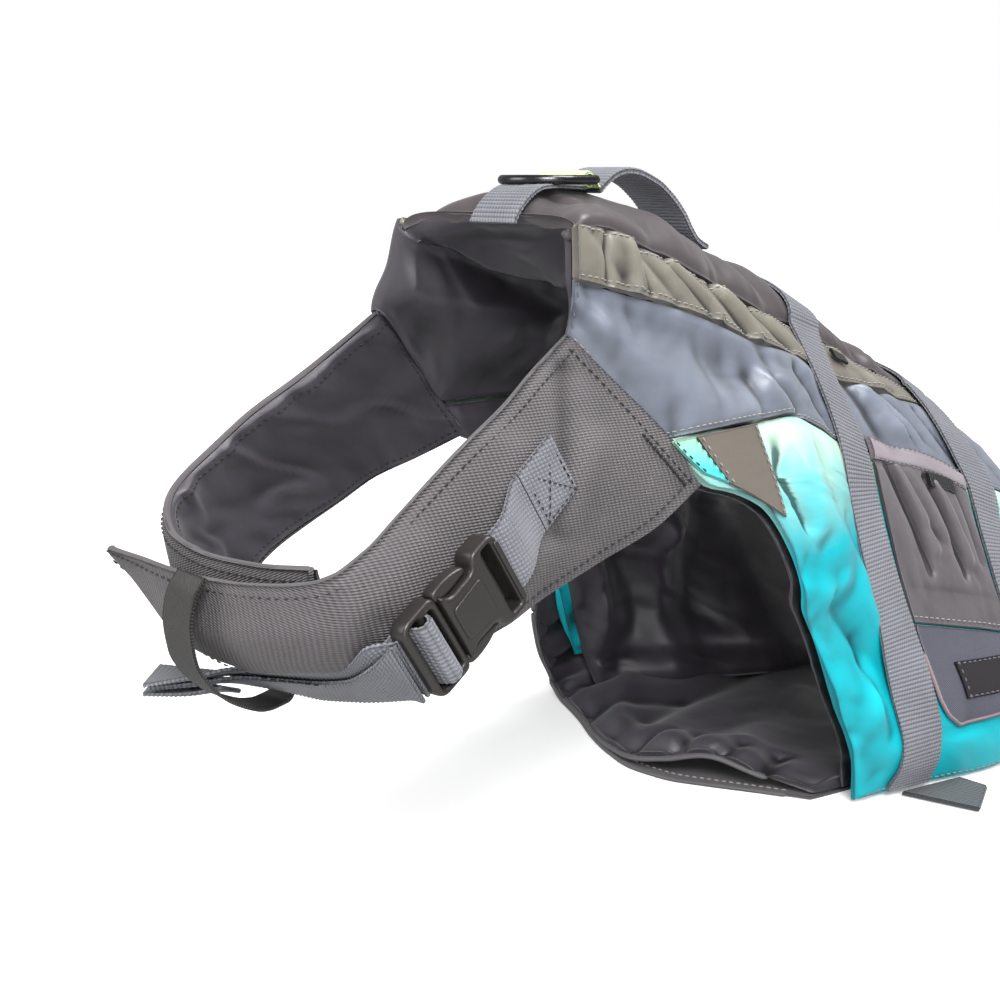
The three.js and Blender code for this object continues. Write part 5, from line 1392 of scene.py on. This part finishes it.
@dataclass
class Buckle:
    """Side release buckle, fastened: moulded halves with rounded edges."""

    thick: float = 9.0

    def moulding(self, name: str, outlines: Sequence[Array], depth: float, at: float, bevel: float) -> bpy.types.Object:
        """Slab with rounded edges from an outline and its holes, in the buckle's own frame."""
        data = bpy.data.curves.new(name, "CURVE")
        data.dimensions = "2D"
        data.fill_mode = "BOTH"
        data.extrude = (depth / 2 - bevel) * MM
        data.bevel_depth = bevel * MM
        data.bevel_resolution = 3
        data.offset = -bevel * MM
        for outline in outlines:
            spline = data.splines.new("POLY")
            spline.points.add(len(outline) - 1)
            co = np.concatenate([outline * MM, np.zeros((len(outline), 1)), np.ones((len(outline), 1))], axis=1)
            spline.points.foreach_set("co", co.ravel())
            spline.use_cyclic_u = True
        source = bpy.data.objects.new(name, data)
        bpy.context.scene.collection.objects.link(source)
        bpy.context.view_layer.update()
        mesh = bpy.data.meshes.new_from_object(source)
        bpy.data.objects.remove(source)
        frame_matrix = Matrix(buckle_matrix().tolist())
        frame_matrix.translation = Vector((np.array(BUCKLE_AT) - ORIGIN) * MM)
        mesh.transform(Matrix.Translation((0, 0, at * MM)))
        co = np.empty(len(mesh.vertices) * 3)
        mesh.vertices.foreach_get("co", co)
        co = co.reshape(-1, 3)
        while mesh.uv_layers:
            mesh.uv_layers.remove(mesh.uv_layers[0])
        uv = mesh.uv_layers.new(name="Weave")
        corner = np.empty(len(mesh.loops), np.int32)
        mesh.loops.foreach_get("vertex_index", corner)
        uv.data.foreach_set("uv", co[corner][:, :2].astype(np.float32).ravel())
        mesh.transform(frame_matrix)
        mesh.set_sharp_from_angle(angle=math.radians(40))
        mesh.materials.clear()
        mesh.materials.append(SHOP.material(PLASTIC))
        made = bpy.data.objects.new(name, mesh)
        bpy.context.scene.collection.objects.link(made)
        SHOP.triangles += 2 * len(mesh.polygons)
        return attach(made, "jacket")

    @staticmethod
    def rounded(points: Sequence[tuple[float, float]], radius: float, steps: int = 6) -> Array:
        """Outline with its corners rounded: each corner becomes a short quadratic curve."""
        p = np.array(points, float)
        before, after = np.roll(p, 1, axis=0), np.roll(p, -1, axis=0)
        reach_in = np.minimum(radius, np.linalg.norm(before - p, axis=1) * 0.48)[:, None]
        reach_out = np.minimum(radius, np.linalg.norm(after - p, axis=1) * 0.48)[:, None]
        a, b = p + unit(before - p) * reach_in, p + unit(after - p) * reach_out
        t = np.linspace(0, 1, steps)[None, :, None]
        return ((1 - t) ** 2 * a[:, None] + 2 * t * (1 - t) * p[:, None] + t**2 * b[:, None]).reshape(-1, 2)

    def box(self, x0: float, x1: float, half: float) -> Array:
        """Rounded rectangle between two lengths, half wide to each side."""
        return self.rounded([(x0, -half), (x1, -half), (x1, half), (x0, half)], 1.2)

    def build(self) -> None:
        """Makes both halves, the release prongs and the webbing through them."""
        h, w = BUCKLE_LENGTH / 2, BUCKLE_WIDTH / 2
        slot = WEBBING_WIDTH / 2 + 0.6
        waist, deep = w - 2.5, w - 5.5
        shell = self.rounded([
            (-h, -waist), (2 - h, -w), (-13, -w), (-11, 1.5 - w), (-9.5, 5 - w), (2, -deep), (5.5, -waist),
            (6.2, -waist), (6.2, waist), (5.5, waist), (2, deep), (-9.5, w - 5), (-11, w - 1.5), (-13, w),
            (2 - h, w), (-h, waist),
        ], 2.2)
        female = self.moulding("buckle_female_shell", [shell, self.box(3.2 - h, 8.2 - h, slot)], self.thick, 0.0, 1.5)
        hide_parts("buckle_female")
        ridge = self.rounded([(-11, -7.5), (4.5, -6.5), (4.5, 6.5), (-11, 7.5)], 2.5)
        self.moulding("buckle_female_panel", [ridge], 1.5, self.thick / 2 - 0.15, 0.7)
        bar = self.rounded([(-h + 0.4, 3 - w), (-h + 2.6, 3 - w), (-h + 2.6, w - 3), (-h + 0.4, w - 3)], 1.0)
        self.moulding("buckle_female_bar", [bar], 2.2, self.thick / 2 - 0.4, 0.8)
        base = self.rounded([
            (6.9, -waist), (8.5, -w), (h - 3, -w), (h, 3 - w), (h, w - 3), (h - 3, w), (8.5, w), (6.9, waist),
        ], 2.4)
        slots = [self.box(h - 8.0, h - 3.2, slot), self.box(h - 14.6, h - 10.4, slot - 1)]
        male = self.moulding("buckle_male_base", [base, *slots], self.thick * 0.8, -0.4, 1.3)
        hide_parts("buckle_male")
        for side in (-1, 1):
            prong = self.rounded([
                (7.2, side * (w - 0.2)), (7.2, side * (w - 4.2)), (0, side * (w - 5.0)), (-8.8, side * (w - 4.4)),
                (-8.8, side * (w - 2.0)), (-4, side * (w - 0.4)), (2, side * (w + 0.3)),
            ], 2.4)
            if side < 0:
                prong = prong[::-1]
            self.moulding(f"buckle_prong_{'left' if side < 0 else 'right'}", [prong], self.thick * 0.62, -0.3, 1.2)
        self.webbing()

    def place(self, x: Array, y: Array, z: Array) -> Array:
        """Points given along, across and out from the buckle's middle."""
        m = buckle_matrix()
        return np.stack([x, y, z], axis=-1) @ m[:3, :3].T + m[:3, 3]

    def onto_band(self, points: Array) -> tuple[Array, Array]:
        """Rows and shares of the left band behind points, by Newton steps in X and Z."""
        s, w = np.full(len(points), 3.0), np.full(len(points), 0.4)
        step = 0.02
        for _ in range(12):
            here = LEFT.at(s, w, 0)
            ds = (LEFT.at(s + step, w, 0) - here) / step
            dw = (LEFT.at(s, w + step, 0) - here) / step
            e = points - here
            det = ds[:, 0] * dw[:, 2] - ds[:, 2] * dw[:, 0]
            s = s + (e[:, 0] * dw[:, 2] - e[:, 2] * dw[:, 0]) / det
            w = w + (ds[:, 0] * e[:, 2] - ds[:, 2] * e[:, 0]) / det
        return s, w

    def webbing(self) -> None:
        """Sewn end with its box and cross stitches, the lead to the buckle, and the turn round its bars."""
        h = BUCKLE_LENGTH / 2
        up = np.linspace(SEWN_END[1], 0.5, 120)
        zero = np.zeros_like(up)
        s, w = self.onto_band(self.place(-h - up, zero, zero))
        on_band = LEFT.at(s, w, 0.9)
        lead = self.place(-h - up, zero, zero - 1.2)
        t = smooth((SEWN_END[0] - up) / SEWN_END[0] / 0.85)[:, None]
        centre = on_band * (1 - t) + lead * t
        m = buckle_matrix()
        side = np.tile(m[:3, 1], (len(up), 1))
        out = unit(LEFT.facing(LEFT.curved, s, w) * (1 - t) + m[:3, 2] * t)
        cut = int(np.searchsorted(-up, -SEWN_END[0]))
        sewn = SHOP.webbing("webbing_sewn_end_cloth", centre[:cut], side[:cut], out[:cut], WEBBING, thick=2.0)
        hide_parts("webbing_sewn_end")
        lead_piece = SHOP.webbing("webbing_lead_cloth", centre[cut - 1:], side[cut - 1:], out[cut - 1:], WEBBING)
        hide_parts("webbing_lead")
        for made, part in ((sewn, centre[:cut]), (lead_piece, centre[cut - 1:])):
            half = side[0] * WEBBING_WIDTH / 2
            declare(made, np.stack([part - half, part + half], axis=1))
        low, high, e = SEWN_END[0] + 2.5, SEWN_END[1] - 2.0, WEBBING_WIDTH / 2 - 2.2
        corners = ((low, -e), (high, -e), (high, e), (low, e), (low, -e), (high, e), (high, -e), (low, e))
        for k, (a, b) in enumerate(zip(corners[:-1], corners[1:], strict=True)):
            q = np.linspace(a, b, 30)
            base = self.place(-h - q[:, 0], q[:, 1], 0 * q[:, 0])
            ss, ww = self.onto_band(base)
            SHOP.stitches(f"stitches_sewn_end_{k}", LEFT.at(ss, ww, 3.15), LEFT.facing(LEFT.curved, ss, ww),
                          DARK_THREAD, pitch=2.4, length=1.7, radius=0.3)
        top = self.thick / 2
        loop = np.array([
            (h - 12.4, -top * 0.9), (h - 11.6, 0.5), (h - 10.4, top - 0.4), (h - 9, top + 0.5), (h - 7.2, top + 0.2),
            (h - 6.0, 1.5), (h - 5.4, -top * 0.5), (h - 4.6, -top), (h - 2, -top - 0.4), (h + 3, -top - 0.2),
        ])
        keys = np.arange(len(loop), dtype=float)
        t = np.linspace(0, len(loop) - 1, 100)
        along, z = hermite(keys, loop[:, 0], t), hermite(keys, loop[:, 1], t)
        centre = self.place(along, 0 * t, z)
        side = np.tile(m[:3, 1], (len(t), 1))
        out = unit(np.cross(side, unit(np.gradient(centre, axis=0))))
        if float((out[20:60] @ m[:3, 2]).mean()) < 0:
            out = -out
        turn = SHOP.webbing("webbing_turn_cloth", centre, side, out, WEBBING, width=WEBBING_WIDTH - 1.5, thick=1.4)
        half = side[0] * WEBBING_WIDTH / 2
        declare(turn, np.stack([centre - half, centre + half], axis=1))


@dataclass
class Chest:
    """Chest webbing from the buckle, its folded end and the elastic keeper."""

    def strip(self, name: str, node: str, table: Sequence[Sequence[float]]) -> None:
        """Webbing between two edge curves."""
        centre, side, out, width = ribbon_frame(table, 160)
        made = SHOP.webbing(name, centre - out * WEBBING_THICK, side, out, WEBBING, width=float(width.mean()))
        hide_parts(node)
        half = side * width[:, None] / 2
        declare(made, np.stack([centre - half, centre + half], axis=1))

    def build(self) -> None:
        """Makes the pieces at the chest."""
        self.strip("chest_webbing_cloth", "chest_webbing", CHEST_WEBBING)
        self.strip("chest_tab_cloth", "chest_tab", CHEST_TAB)
        centre, side, out, width = ribbon_frame(CHEST_WEBBING, 160)
        away = np.linspace(0, 1, len(centre))[:, None]
        rise = 7.5 * smooth(away / 0.15) * (1 - 0.4 * away)
        behind = centre + side * rise - out * (WEBBING_THICK + 2.6)
        under = SHOP.webbing("chest_webbing_fold", behind, side, out, WEBBING, width=float(width.mean()))
        plain = np.stack([centre - side * 12.5, centre + side * 12.5], axis=1)
        declare(under, plain)
        rows = np.asarray(KEEPER, float)
        keys = np.arange(len(rows), dtype=float)
        s = np.linspace(0, len(rows) - 1, 100)
        centre = np.stack([hermite(keys, rows[:, k], s) for k in range(3)], axis=-1)
        width = hermite(keys, rows[:, 3], s)
        along = unit(np.gradient(centre, axis=0))
        side = np.tile([0.0, 1.0, 0.0], (len(s), 1))
        out = unit(np.cross(along, side))
        if out[27, 0] > 0:
            out = -out
        k = np.linspace(-0.5, 0.5, 12)[None, :, None]
        wave = 0.35 * np.sin(s[:, None] * 2.1) * np.cos(np.pi * k[..., 0])
        outer = centre[:, None] + side[:, None] * k * width[:, None, None] + out[:, None] * (1.2 + wave)[..., None]
        inner = centre[:, None] + side[:, None] * k * width[:, None, None] + out[:, None] * 0.1
        made = SHOP.shell("keeper_elastic", outer, inner, ELASTIC)
        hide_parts("keeper")
        declare(made, outer)


# ---------------------------------------------------------------- pocket and patches


POUCH_FOLDS = (
    (196, 3.3, 209, 5.3, -6.5, 2.4), (199.5, 3.3, 214, 5.0, 2.2, 2.6), (220, 3.5, 233, 5.4, -6.0, 2.2),
    (224, 3.6, 238, 5.2, 2.0, 2.6), (208, 3.4, 224, 5.0, 1.2, 3.5), (243, 3.6, 249, 5.2, -2.2, 3.0),
    (191, 3.4, 199, 5.6, 1.2, 3.0), (212, 4.6, 240, 5.4, -1.2, 3.5),
)


@dataclass
class Patches:
    """Cloth corners at the leg opening, the side pocket with its pull, lower panel and bare label."""

    taupe: tuple = ((50, 3.03), (89, 3.03), (91.5, 3.93), (60, 3.53))
    mint: tuple = ((37, 3.03), (49, 3.03), (59.5, 3.52), (48, 3.37))
    front: float = 188.5
    rear: float = 253.5
    puff: float = 4.6

    @staticmethod
    def field(corners: Sequence[Sequence[float]], count: tuple[int, int]) -> tuple[Array, Array, Array, Array]:
        """Grid of lengths and lines between four corners, with its two shares."""
        a, b, c, d = (np.array(row, float) for row in corners)
        u = np.linspace(0, 1, count[0])[:, None, None]
        v = np.linspace(0, 1, count[1])[None, :, None]
        p = (a * (1 - u) + b * u) * (1 - v) + (d * (1 - u) + c * u) * v
        return p[..., 0], p[..., 1], np.broadcast_to(u[..., 0], p.shape[:2]), np.broadcast_to(v[..., 0], p.shape[:2])

    def patch(self, name: str, node: str, corners: Sequence[Sequence[float]], side: int, finish: Finish, thick: float,
              count: tuple[int, int] = (60, 50), base: float = 1.0, relief: Array | float = 0.0,
              round_edge: float = 0.0) -> bpy.types.Object:
        """Thin piece of cloth on the side panel."""
        x, v, u, w = self.field(corners, count)
        relief = relief - round_edge * (2 * np.abs(w - 0.5)) ** 4
        outer = BODY.at(x, v * side, base + thick + relief)
        inner = BODY.at(x, v * side, base + relief * 0.6 - 0.3)
        made = SHOP.shell(name, outer, inner, finish)
        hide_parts(node)
        return declare(made, BODY.plain(x, v * side))

    def hem(self, name: str, corners: Sequence[Sequence[float]], side: int, finish: Finish, out: float, inset: float,
            edges: Sequence[int] = (0, 1, 2, 3)) -> None:
        """Stitches just inside chosen edges of a patch."""
        p = np.array(corners, float)
        middle = p.mean(axis=0)
        p = p + (middle - p) * inset
        for k in edges:
            a, b = p[k], p[(k + 1) % 4]
            q = np.linspace(a, b, 40)
            SHOP.stitches(f"stitches_{name}_{k}", BODY.at(q[:, 0], q[:, 1] * side, out),
                          BODY.normal(q[:, 0], q[:, 1] * side), finish, pitch=3.0, length=2.0)

    def build(self) -> None:
        """Makes the patches and the pocket."""
        for side, label in ((1, "left"), (-1, "right")):
            self.patch(f"patch_taupe_{label}_cloth", f"patch_taupe_{label}", self.taupe, side, TAUPE, 1.0)
            self.patch(f"patch_mint_{label}_cloth", f"patch_mint_{label}", self.mint, side, MINT, 1.0, (40, 30))
            self.hem(f"taupe_{label}", self.taupe, side, WHITE_THREAD, 2.5, 0.10, (1, 3))
            self.hem(f"mint_{label}", self.mint, side, DARK_THREAD, 2.5, 0.14, (1, 3))
        self.pocket()

    def pocket(self) -> None:
        """Pocket of the left side: binding, pleated pouch, pull, lower panel and label."""
        front, rear = self.front, self.rear
        bind = ((front, 2.8), (rear, 3.06), (rear, 3.42), (front, 3.15))
        self.patch("pocket_binding_cloth", "pocket_binding", bind, 1, BINDING, 2.4, (70, 14), base=1.0, round_edge=0.9)
        self.hem("binding", bind, 1, GREY_THREAD, 3.6, 0.12, (0, 2))
        pouch = ((front, 3.19), (rear, 3.46), (rear, 6.2), (front, 5.86))
        x, v, u, w = self.field(pouch, (150, 76))
        swell = self.puff * np.sin(np.pi * u) ** 0.7 * np.sin(np.pi * np.minimum(w + 0.16, 1)) ** 0.8
        open_top = 1 - smooth((w - 0.55) / 0.35)
        pleats = creases(POUCH_FOLDS, x, v) * (0.35 + 0.65 * open_top)
        noise = Noise(91)
        gather = 0.7 * noise.soft(u * 9, w * 2.2) * (1 - w) + 0.5 * noise.soft(u * 5, w * 4)
        self.patch("pocket_pouch_cloth", "pocket_pouch", pouch, 1, POUCH, 0.9, (150, 76), base=1.7,
                   relief=np.maximum(swell + pleats + gather, -0.4))
        seam = np.linspace(0.02, 0.98, 120)
        sx, sv = front + (rear - front) * seam, 5.80 + 0.34 * seam
        SHOP.stitches("stitches_pouch_low", BODY.at(sx, sv, 3.1), BODY.normal(sx, sv), WHITE_THREAD)
        t = np.linspace(0, 1, 40)[None, :]
        u = np.linspace(0, 1, 60)[:, None]
        start_at = curve(((5.9, 188.5), (6.6, 188.7), (6.8, 191), (6.95, 197)))
        start = start_at(5.9 + (6.95 - 5.9) * t)
        x = start + (rear - start) * u
        v = (5.9 + 0.34 * u) * (1 - t) + 6.95 * t
        made = SHOP.shell("pocket_lower_cloth", BODY.at(x, v, 2.8), BODY.at(x, v, 1.6), SLATE)
        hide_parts("pocket_lower_panel")
        declare(made, BODY.plain(x, v))
        edge = np.linspace(6.2, 6.95, 60)
        line = BODY.at(start_at(edge) - 0.4, edge, 2.4)
        low = BODY.at(np.linspace(197, rear, 80), np.full(80, 6.97), 2.4)
        SHOP.tube("pocket_piping", resample(np.concatenate([line, low[1:]]), 1.5)[0], 0.9, PIPING)
        label = ((204, 6.36), (248, 6.42), (248, 6.74), (204, 6.70))
        self.patch("label_patch_bare", "label_patch", label, 1, LABEL, 1.0, (60, 24), base=2.9)
        self.hem("label", label, 1, GREY_THREAD, 4.0, 0.08)
        tab = ((221, 3.38), (238, 3.44), (238, 3.72), (221, 3.66))
        self.patch("pocket_tab_tape", "pocket_tab", tab, 1, TAPE, 1.6, (30, 16), base=4.9)
        small = ((189.5, 1.30), (199, 1.34), (199, 1.58), (189.5, 1.54))
        x, v, _, _ = self.field(small, (24, 14))
        SHOP.shell("strap_side_tape", BODY.at(x, v, 2.6), BODY.at(x, v, 1.0), TAPE)


# ---------------------------------------------------------------- fittings on the spine


@dataclass
class SpineFittings:
    """Lifting handle, webbing on the spine, tape loop and the lead ring."""

    handle_width: float = 24.0

    def build(self) -> None:
        """Makes the fittings."""
        x = np.linspace(54, 124, 180)
        z = BODY.crest(x) + curve(HANDLE)(x) - 2.6 * smooth((x - 106) / 16)
        centre = np.stack([x, 0 * x, z], axis=-1)
        side = np.tile([0.0, 1.0, 0.0], (len(x), 1))
        along = unit(np.gradient(centre, axis=0))
        out = unit(np.cross(along, side))
        out = np.where(out[:, 2:] < 0, -out, out)
        made = SHOP.webbing("handle_webbing", centre, side, out, WEBBING, width=self.handle_width, thick=2.6)
        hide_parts("handle")
        half = side * self.handle_width / 2
        declare(made, np.stack([centre - half, centre + half], axis=1))
        x = np.linspace(44, 0.8, 120)
        over = BODY.at(x, 0 * x, 1.6 - 5.0 * np.exp(-x / 6.5))
        face = np.array([(-0.6, 0, 263.4), (-1.1, 0, 262.0)])
        centre = np.concatenate([over, face])
        centre[:, 1] = -7.0 * smooth(1 - centre[:, 0] / 40)
        side = np.tile([0.0, 1.0, 0.0], (len(centre), 1))
        out = unit(np.cross(side, unit(np.gradient(centre, axis=0))))
        out = np.where((out[:20, 2] < 0).any(), -out, out)
        made = SHOP.webbing("front_webbing_cloth", centre, side, out, WEBBING)
        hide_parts("front_webbing")
        half = side * WEBBING_WIDTH / 2
        declare(made, np.stack([centre - half, centre + half], axis=1))
        self.ring()
        self.loop()

    def ring(self) -> None:
        """Oval bow with a straight bar, one closed tube."""
        reach = RING_LENGTH - RING_HALF_WIDTH
        a = np.linspace(np.pi / 2, 3 * np.pi / 2, 60)
        bow = np.stack([-reach + RING_HALF_WIDTH * 0.98 * np.cos(a), RING_HALF_WIDTH * np.sin(a)], axis=-1)
        bar = np.stack([np.zeros(30), np.linspace(-RING_HALF_WIDTH, RING_HALF_WIDTH, 30)], axis=-1)
        leg_a = np.linspace(bar[-1], bow[0], 10)[1:-1]
        leg_b = np.linspace(bow[-1], bar[0], 10)[1:-1]
        flat = np.concatenate([bar, leg_a, bow, leg_b])
        for _ in range(3):
            flat = (np.roll(flat, 1, axis=0) + 2 * flat + np.roll(flat, -1, axis=0)) / 4
        path = np.concatenate([flat, np.zeros((len(flat), 1))], axis=1) + np.array(RING_BAR)
        made = SHOP.tube("lead_ring_metal", path, RING_WIRE / 2, METAL, "lead_ring", closed=True, sides=20)
        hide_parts("d_ring")

    def loop(self) -> None:
        """Tape loop round the ring's bar."""
        r = RING_WIRE / 2 + 0.35
        deg = np.radians(np.array([70, 100, 135, 170, 205, 240, 270, 300], float))
        foot = float(BODY.crest(np.array([48.0]))[0]) + 2.8
        round_bar = np.stack([RING_BAR[0] + r * np.cos(deg), 0 * deg, RING_BAR[2] + r * np.sin(deg)], axis=-1)
        points = np.concatenate([[(RING_BAR[0] + 6, 0, foot)], round_bar])
        keys = np.arange(len(points), dtype=float)
        s = np.linspace(0, len(points) - 1, 120)
        centre = np.stack([hermite(keys, points[:, k], s) for k in range(3)], axis=-1)
        side = np.tile([0.0, 1.0, 0.0], (len(s), 1))
        out = unit(np.cross(unit(np.gradient(centre, axis=0)), side))
        away = centre - np.array(RING_BAR)
        if float((out * away).sum()) < 0:
            out = -out
        width = 2 * RING_HALF_WIDTH - RING_WIRE - 5
        made = SHOP.webbing("ring_loop_tape", centre, side, out, LIME, width=width, thick=1.3, rib=0.12, pitch=1.1)
        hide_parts("ring_loop")
        half = side * width / 2
        declare(made, np.stack([centre - half, centre + half], axis=1))


# ---------------------------------------------------------------- studio


@dataclass
class Studio:
    """White floor, soft lights and the photograph's camera."""

    camera_at: tuple[float, float, float] = (-0.565, -0.394, 0.280)
    azimuth: float = 43.1
    pitch: float = math.degrees(math.atan(325 / 1350))
    lens: float = 48.6

    def build(self) -> None:
        """Makes the floor, the lights, the world and the camera."""
        floor = Graph("studio floor")
        seen = floor.tree.nodes.new("ShaderNodeLightPath").outputs["Is Camera Ray"]
        floor.put(floor.shader.inputs["Base Color"], floor.mix(seen, (0.42, 0.42, 0.42, 1), (0.98, 0.98, 0.98, 1)))
        floor.shader.inputs["Roughness"].default_value = 0.8
        floor.shader.inputs["Emission Color"].default_value = (1, 1, 1, 1)
        place = floor.tree.nodes.new("ShaderNodeTexCoord").outputs["Object"]
        far = floor.node("ShaderNodeVectorMath", Vector=place)
        far.operation = "LENGTH"
        reach = floor.node("ShaderNodeMapRange", Value=far.outputs["Value"])
        for socket, value in (("From Min", 0.45), ("From Max", 1.4), ("To Min", 0.22), ("To Max", 0.9)):
            reach.inputs[socket].default_value = value
        floor.put(floor.shader.inputs["Emission Strength"], floor.math("MULTIPLY", seen, reach.outputs[0]))
        bpy.ops.mesh.primitive_plane_add(size=12, location=(0, 0, 0))
        plane = bpy.context.object
        plane.name = "studio_floor"
        plane.data.materials.append(floor.material)
        world = bpy.data.worlds.new("studio")
        bpy.context.scene.world = world
        world.use_nodes = True
        nodes, links = world.node_tree.nodes, world.node_tree.links
        path = nodes.new("ShaderNodeLightPath")
        strength = nodes.new("ShaderNodeMix")
        strength.inputs["A"].default_value = 0.34
        strength.inputs["B"].default_value = 1.0
        links.new(path.outputs["Is Camera Ray"], strength.inputs["Factor"])
        nodes["Background"].inputs[0].default_value = (1, 1, 1, 1)
        links.new(strength.outputs[0], nodes["Background"].inputs[1])
        self.light("key", (-0.9, -1.0, 1.3), 0.7, 32.0)
        self.light("top", (0.4, -0.3, 1.6), 0.8, 24.0)
        self.light("left", (-1.4, 0.7, 0.8), 0.9, 12.0)
        self.light("front", (-1.1, -1.3, 0.35), 0.9, 7.0)
        scene = bpy.context.scene
        scene.view_settings.view_transform = "Standard"
        data = bpy.data.cameras.new("camera")
        data.lens = self.lens
        data.sensor_width = 36
        camera = bpy.data.objects.new("camera", data)
        scene.collection.objects.link(camera)
        camera.location = self.camera_at
        camera.rotation_euler = (math.radians(90 - self.pitch), 0, math.radians(-self.azimuth))
        scene.camera = camera

    @staticmethod
    def light(name: str, at: tuple[float, float, float], size: float, power: float) -> None:
        """Square area light that faces the jacket."""
        data = bpy.data.lights.new(name, "AREA")
        data.size = size
        data.energy = power
        made = bpy.data.objects.new(name, data)
        bpy.context.scene.collection.objects.link(made)
        made.location = at
        aim = Vector((-0.05, 0, 0.12)) - Vector(at)
        made.rotation_euler = aim.to_track_quat("-Z", "Y").to_euler()


def main() -> None:
    """Builds the jacket, then the studio."""
    for part in (Back(), Linings(), Belly(), NeckBand(), Straps(), Buckle(), Chest(), Patches(), SpineFittings()):
        part.build()
        log.info("%s done, %d triangles so far", type(part).__name__, SHOP.triangles)
    Studio().build()


if __name__ == "__main__":
    logging.basicConfig(level=logging.INFO, format="%(name)s: %(message)s")
    main()
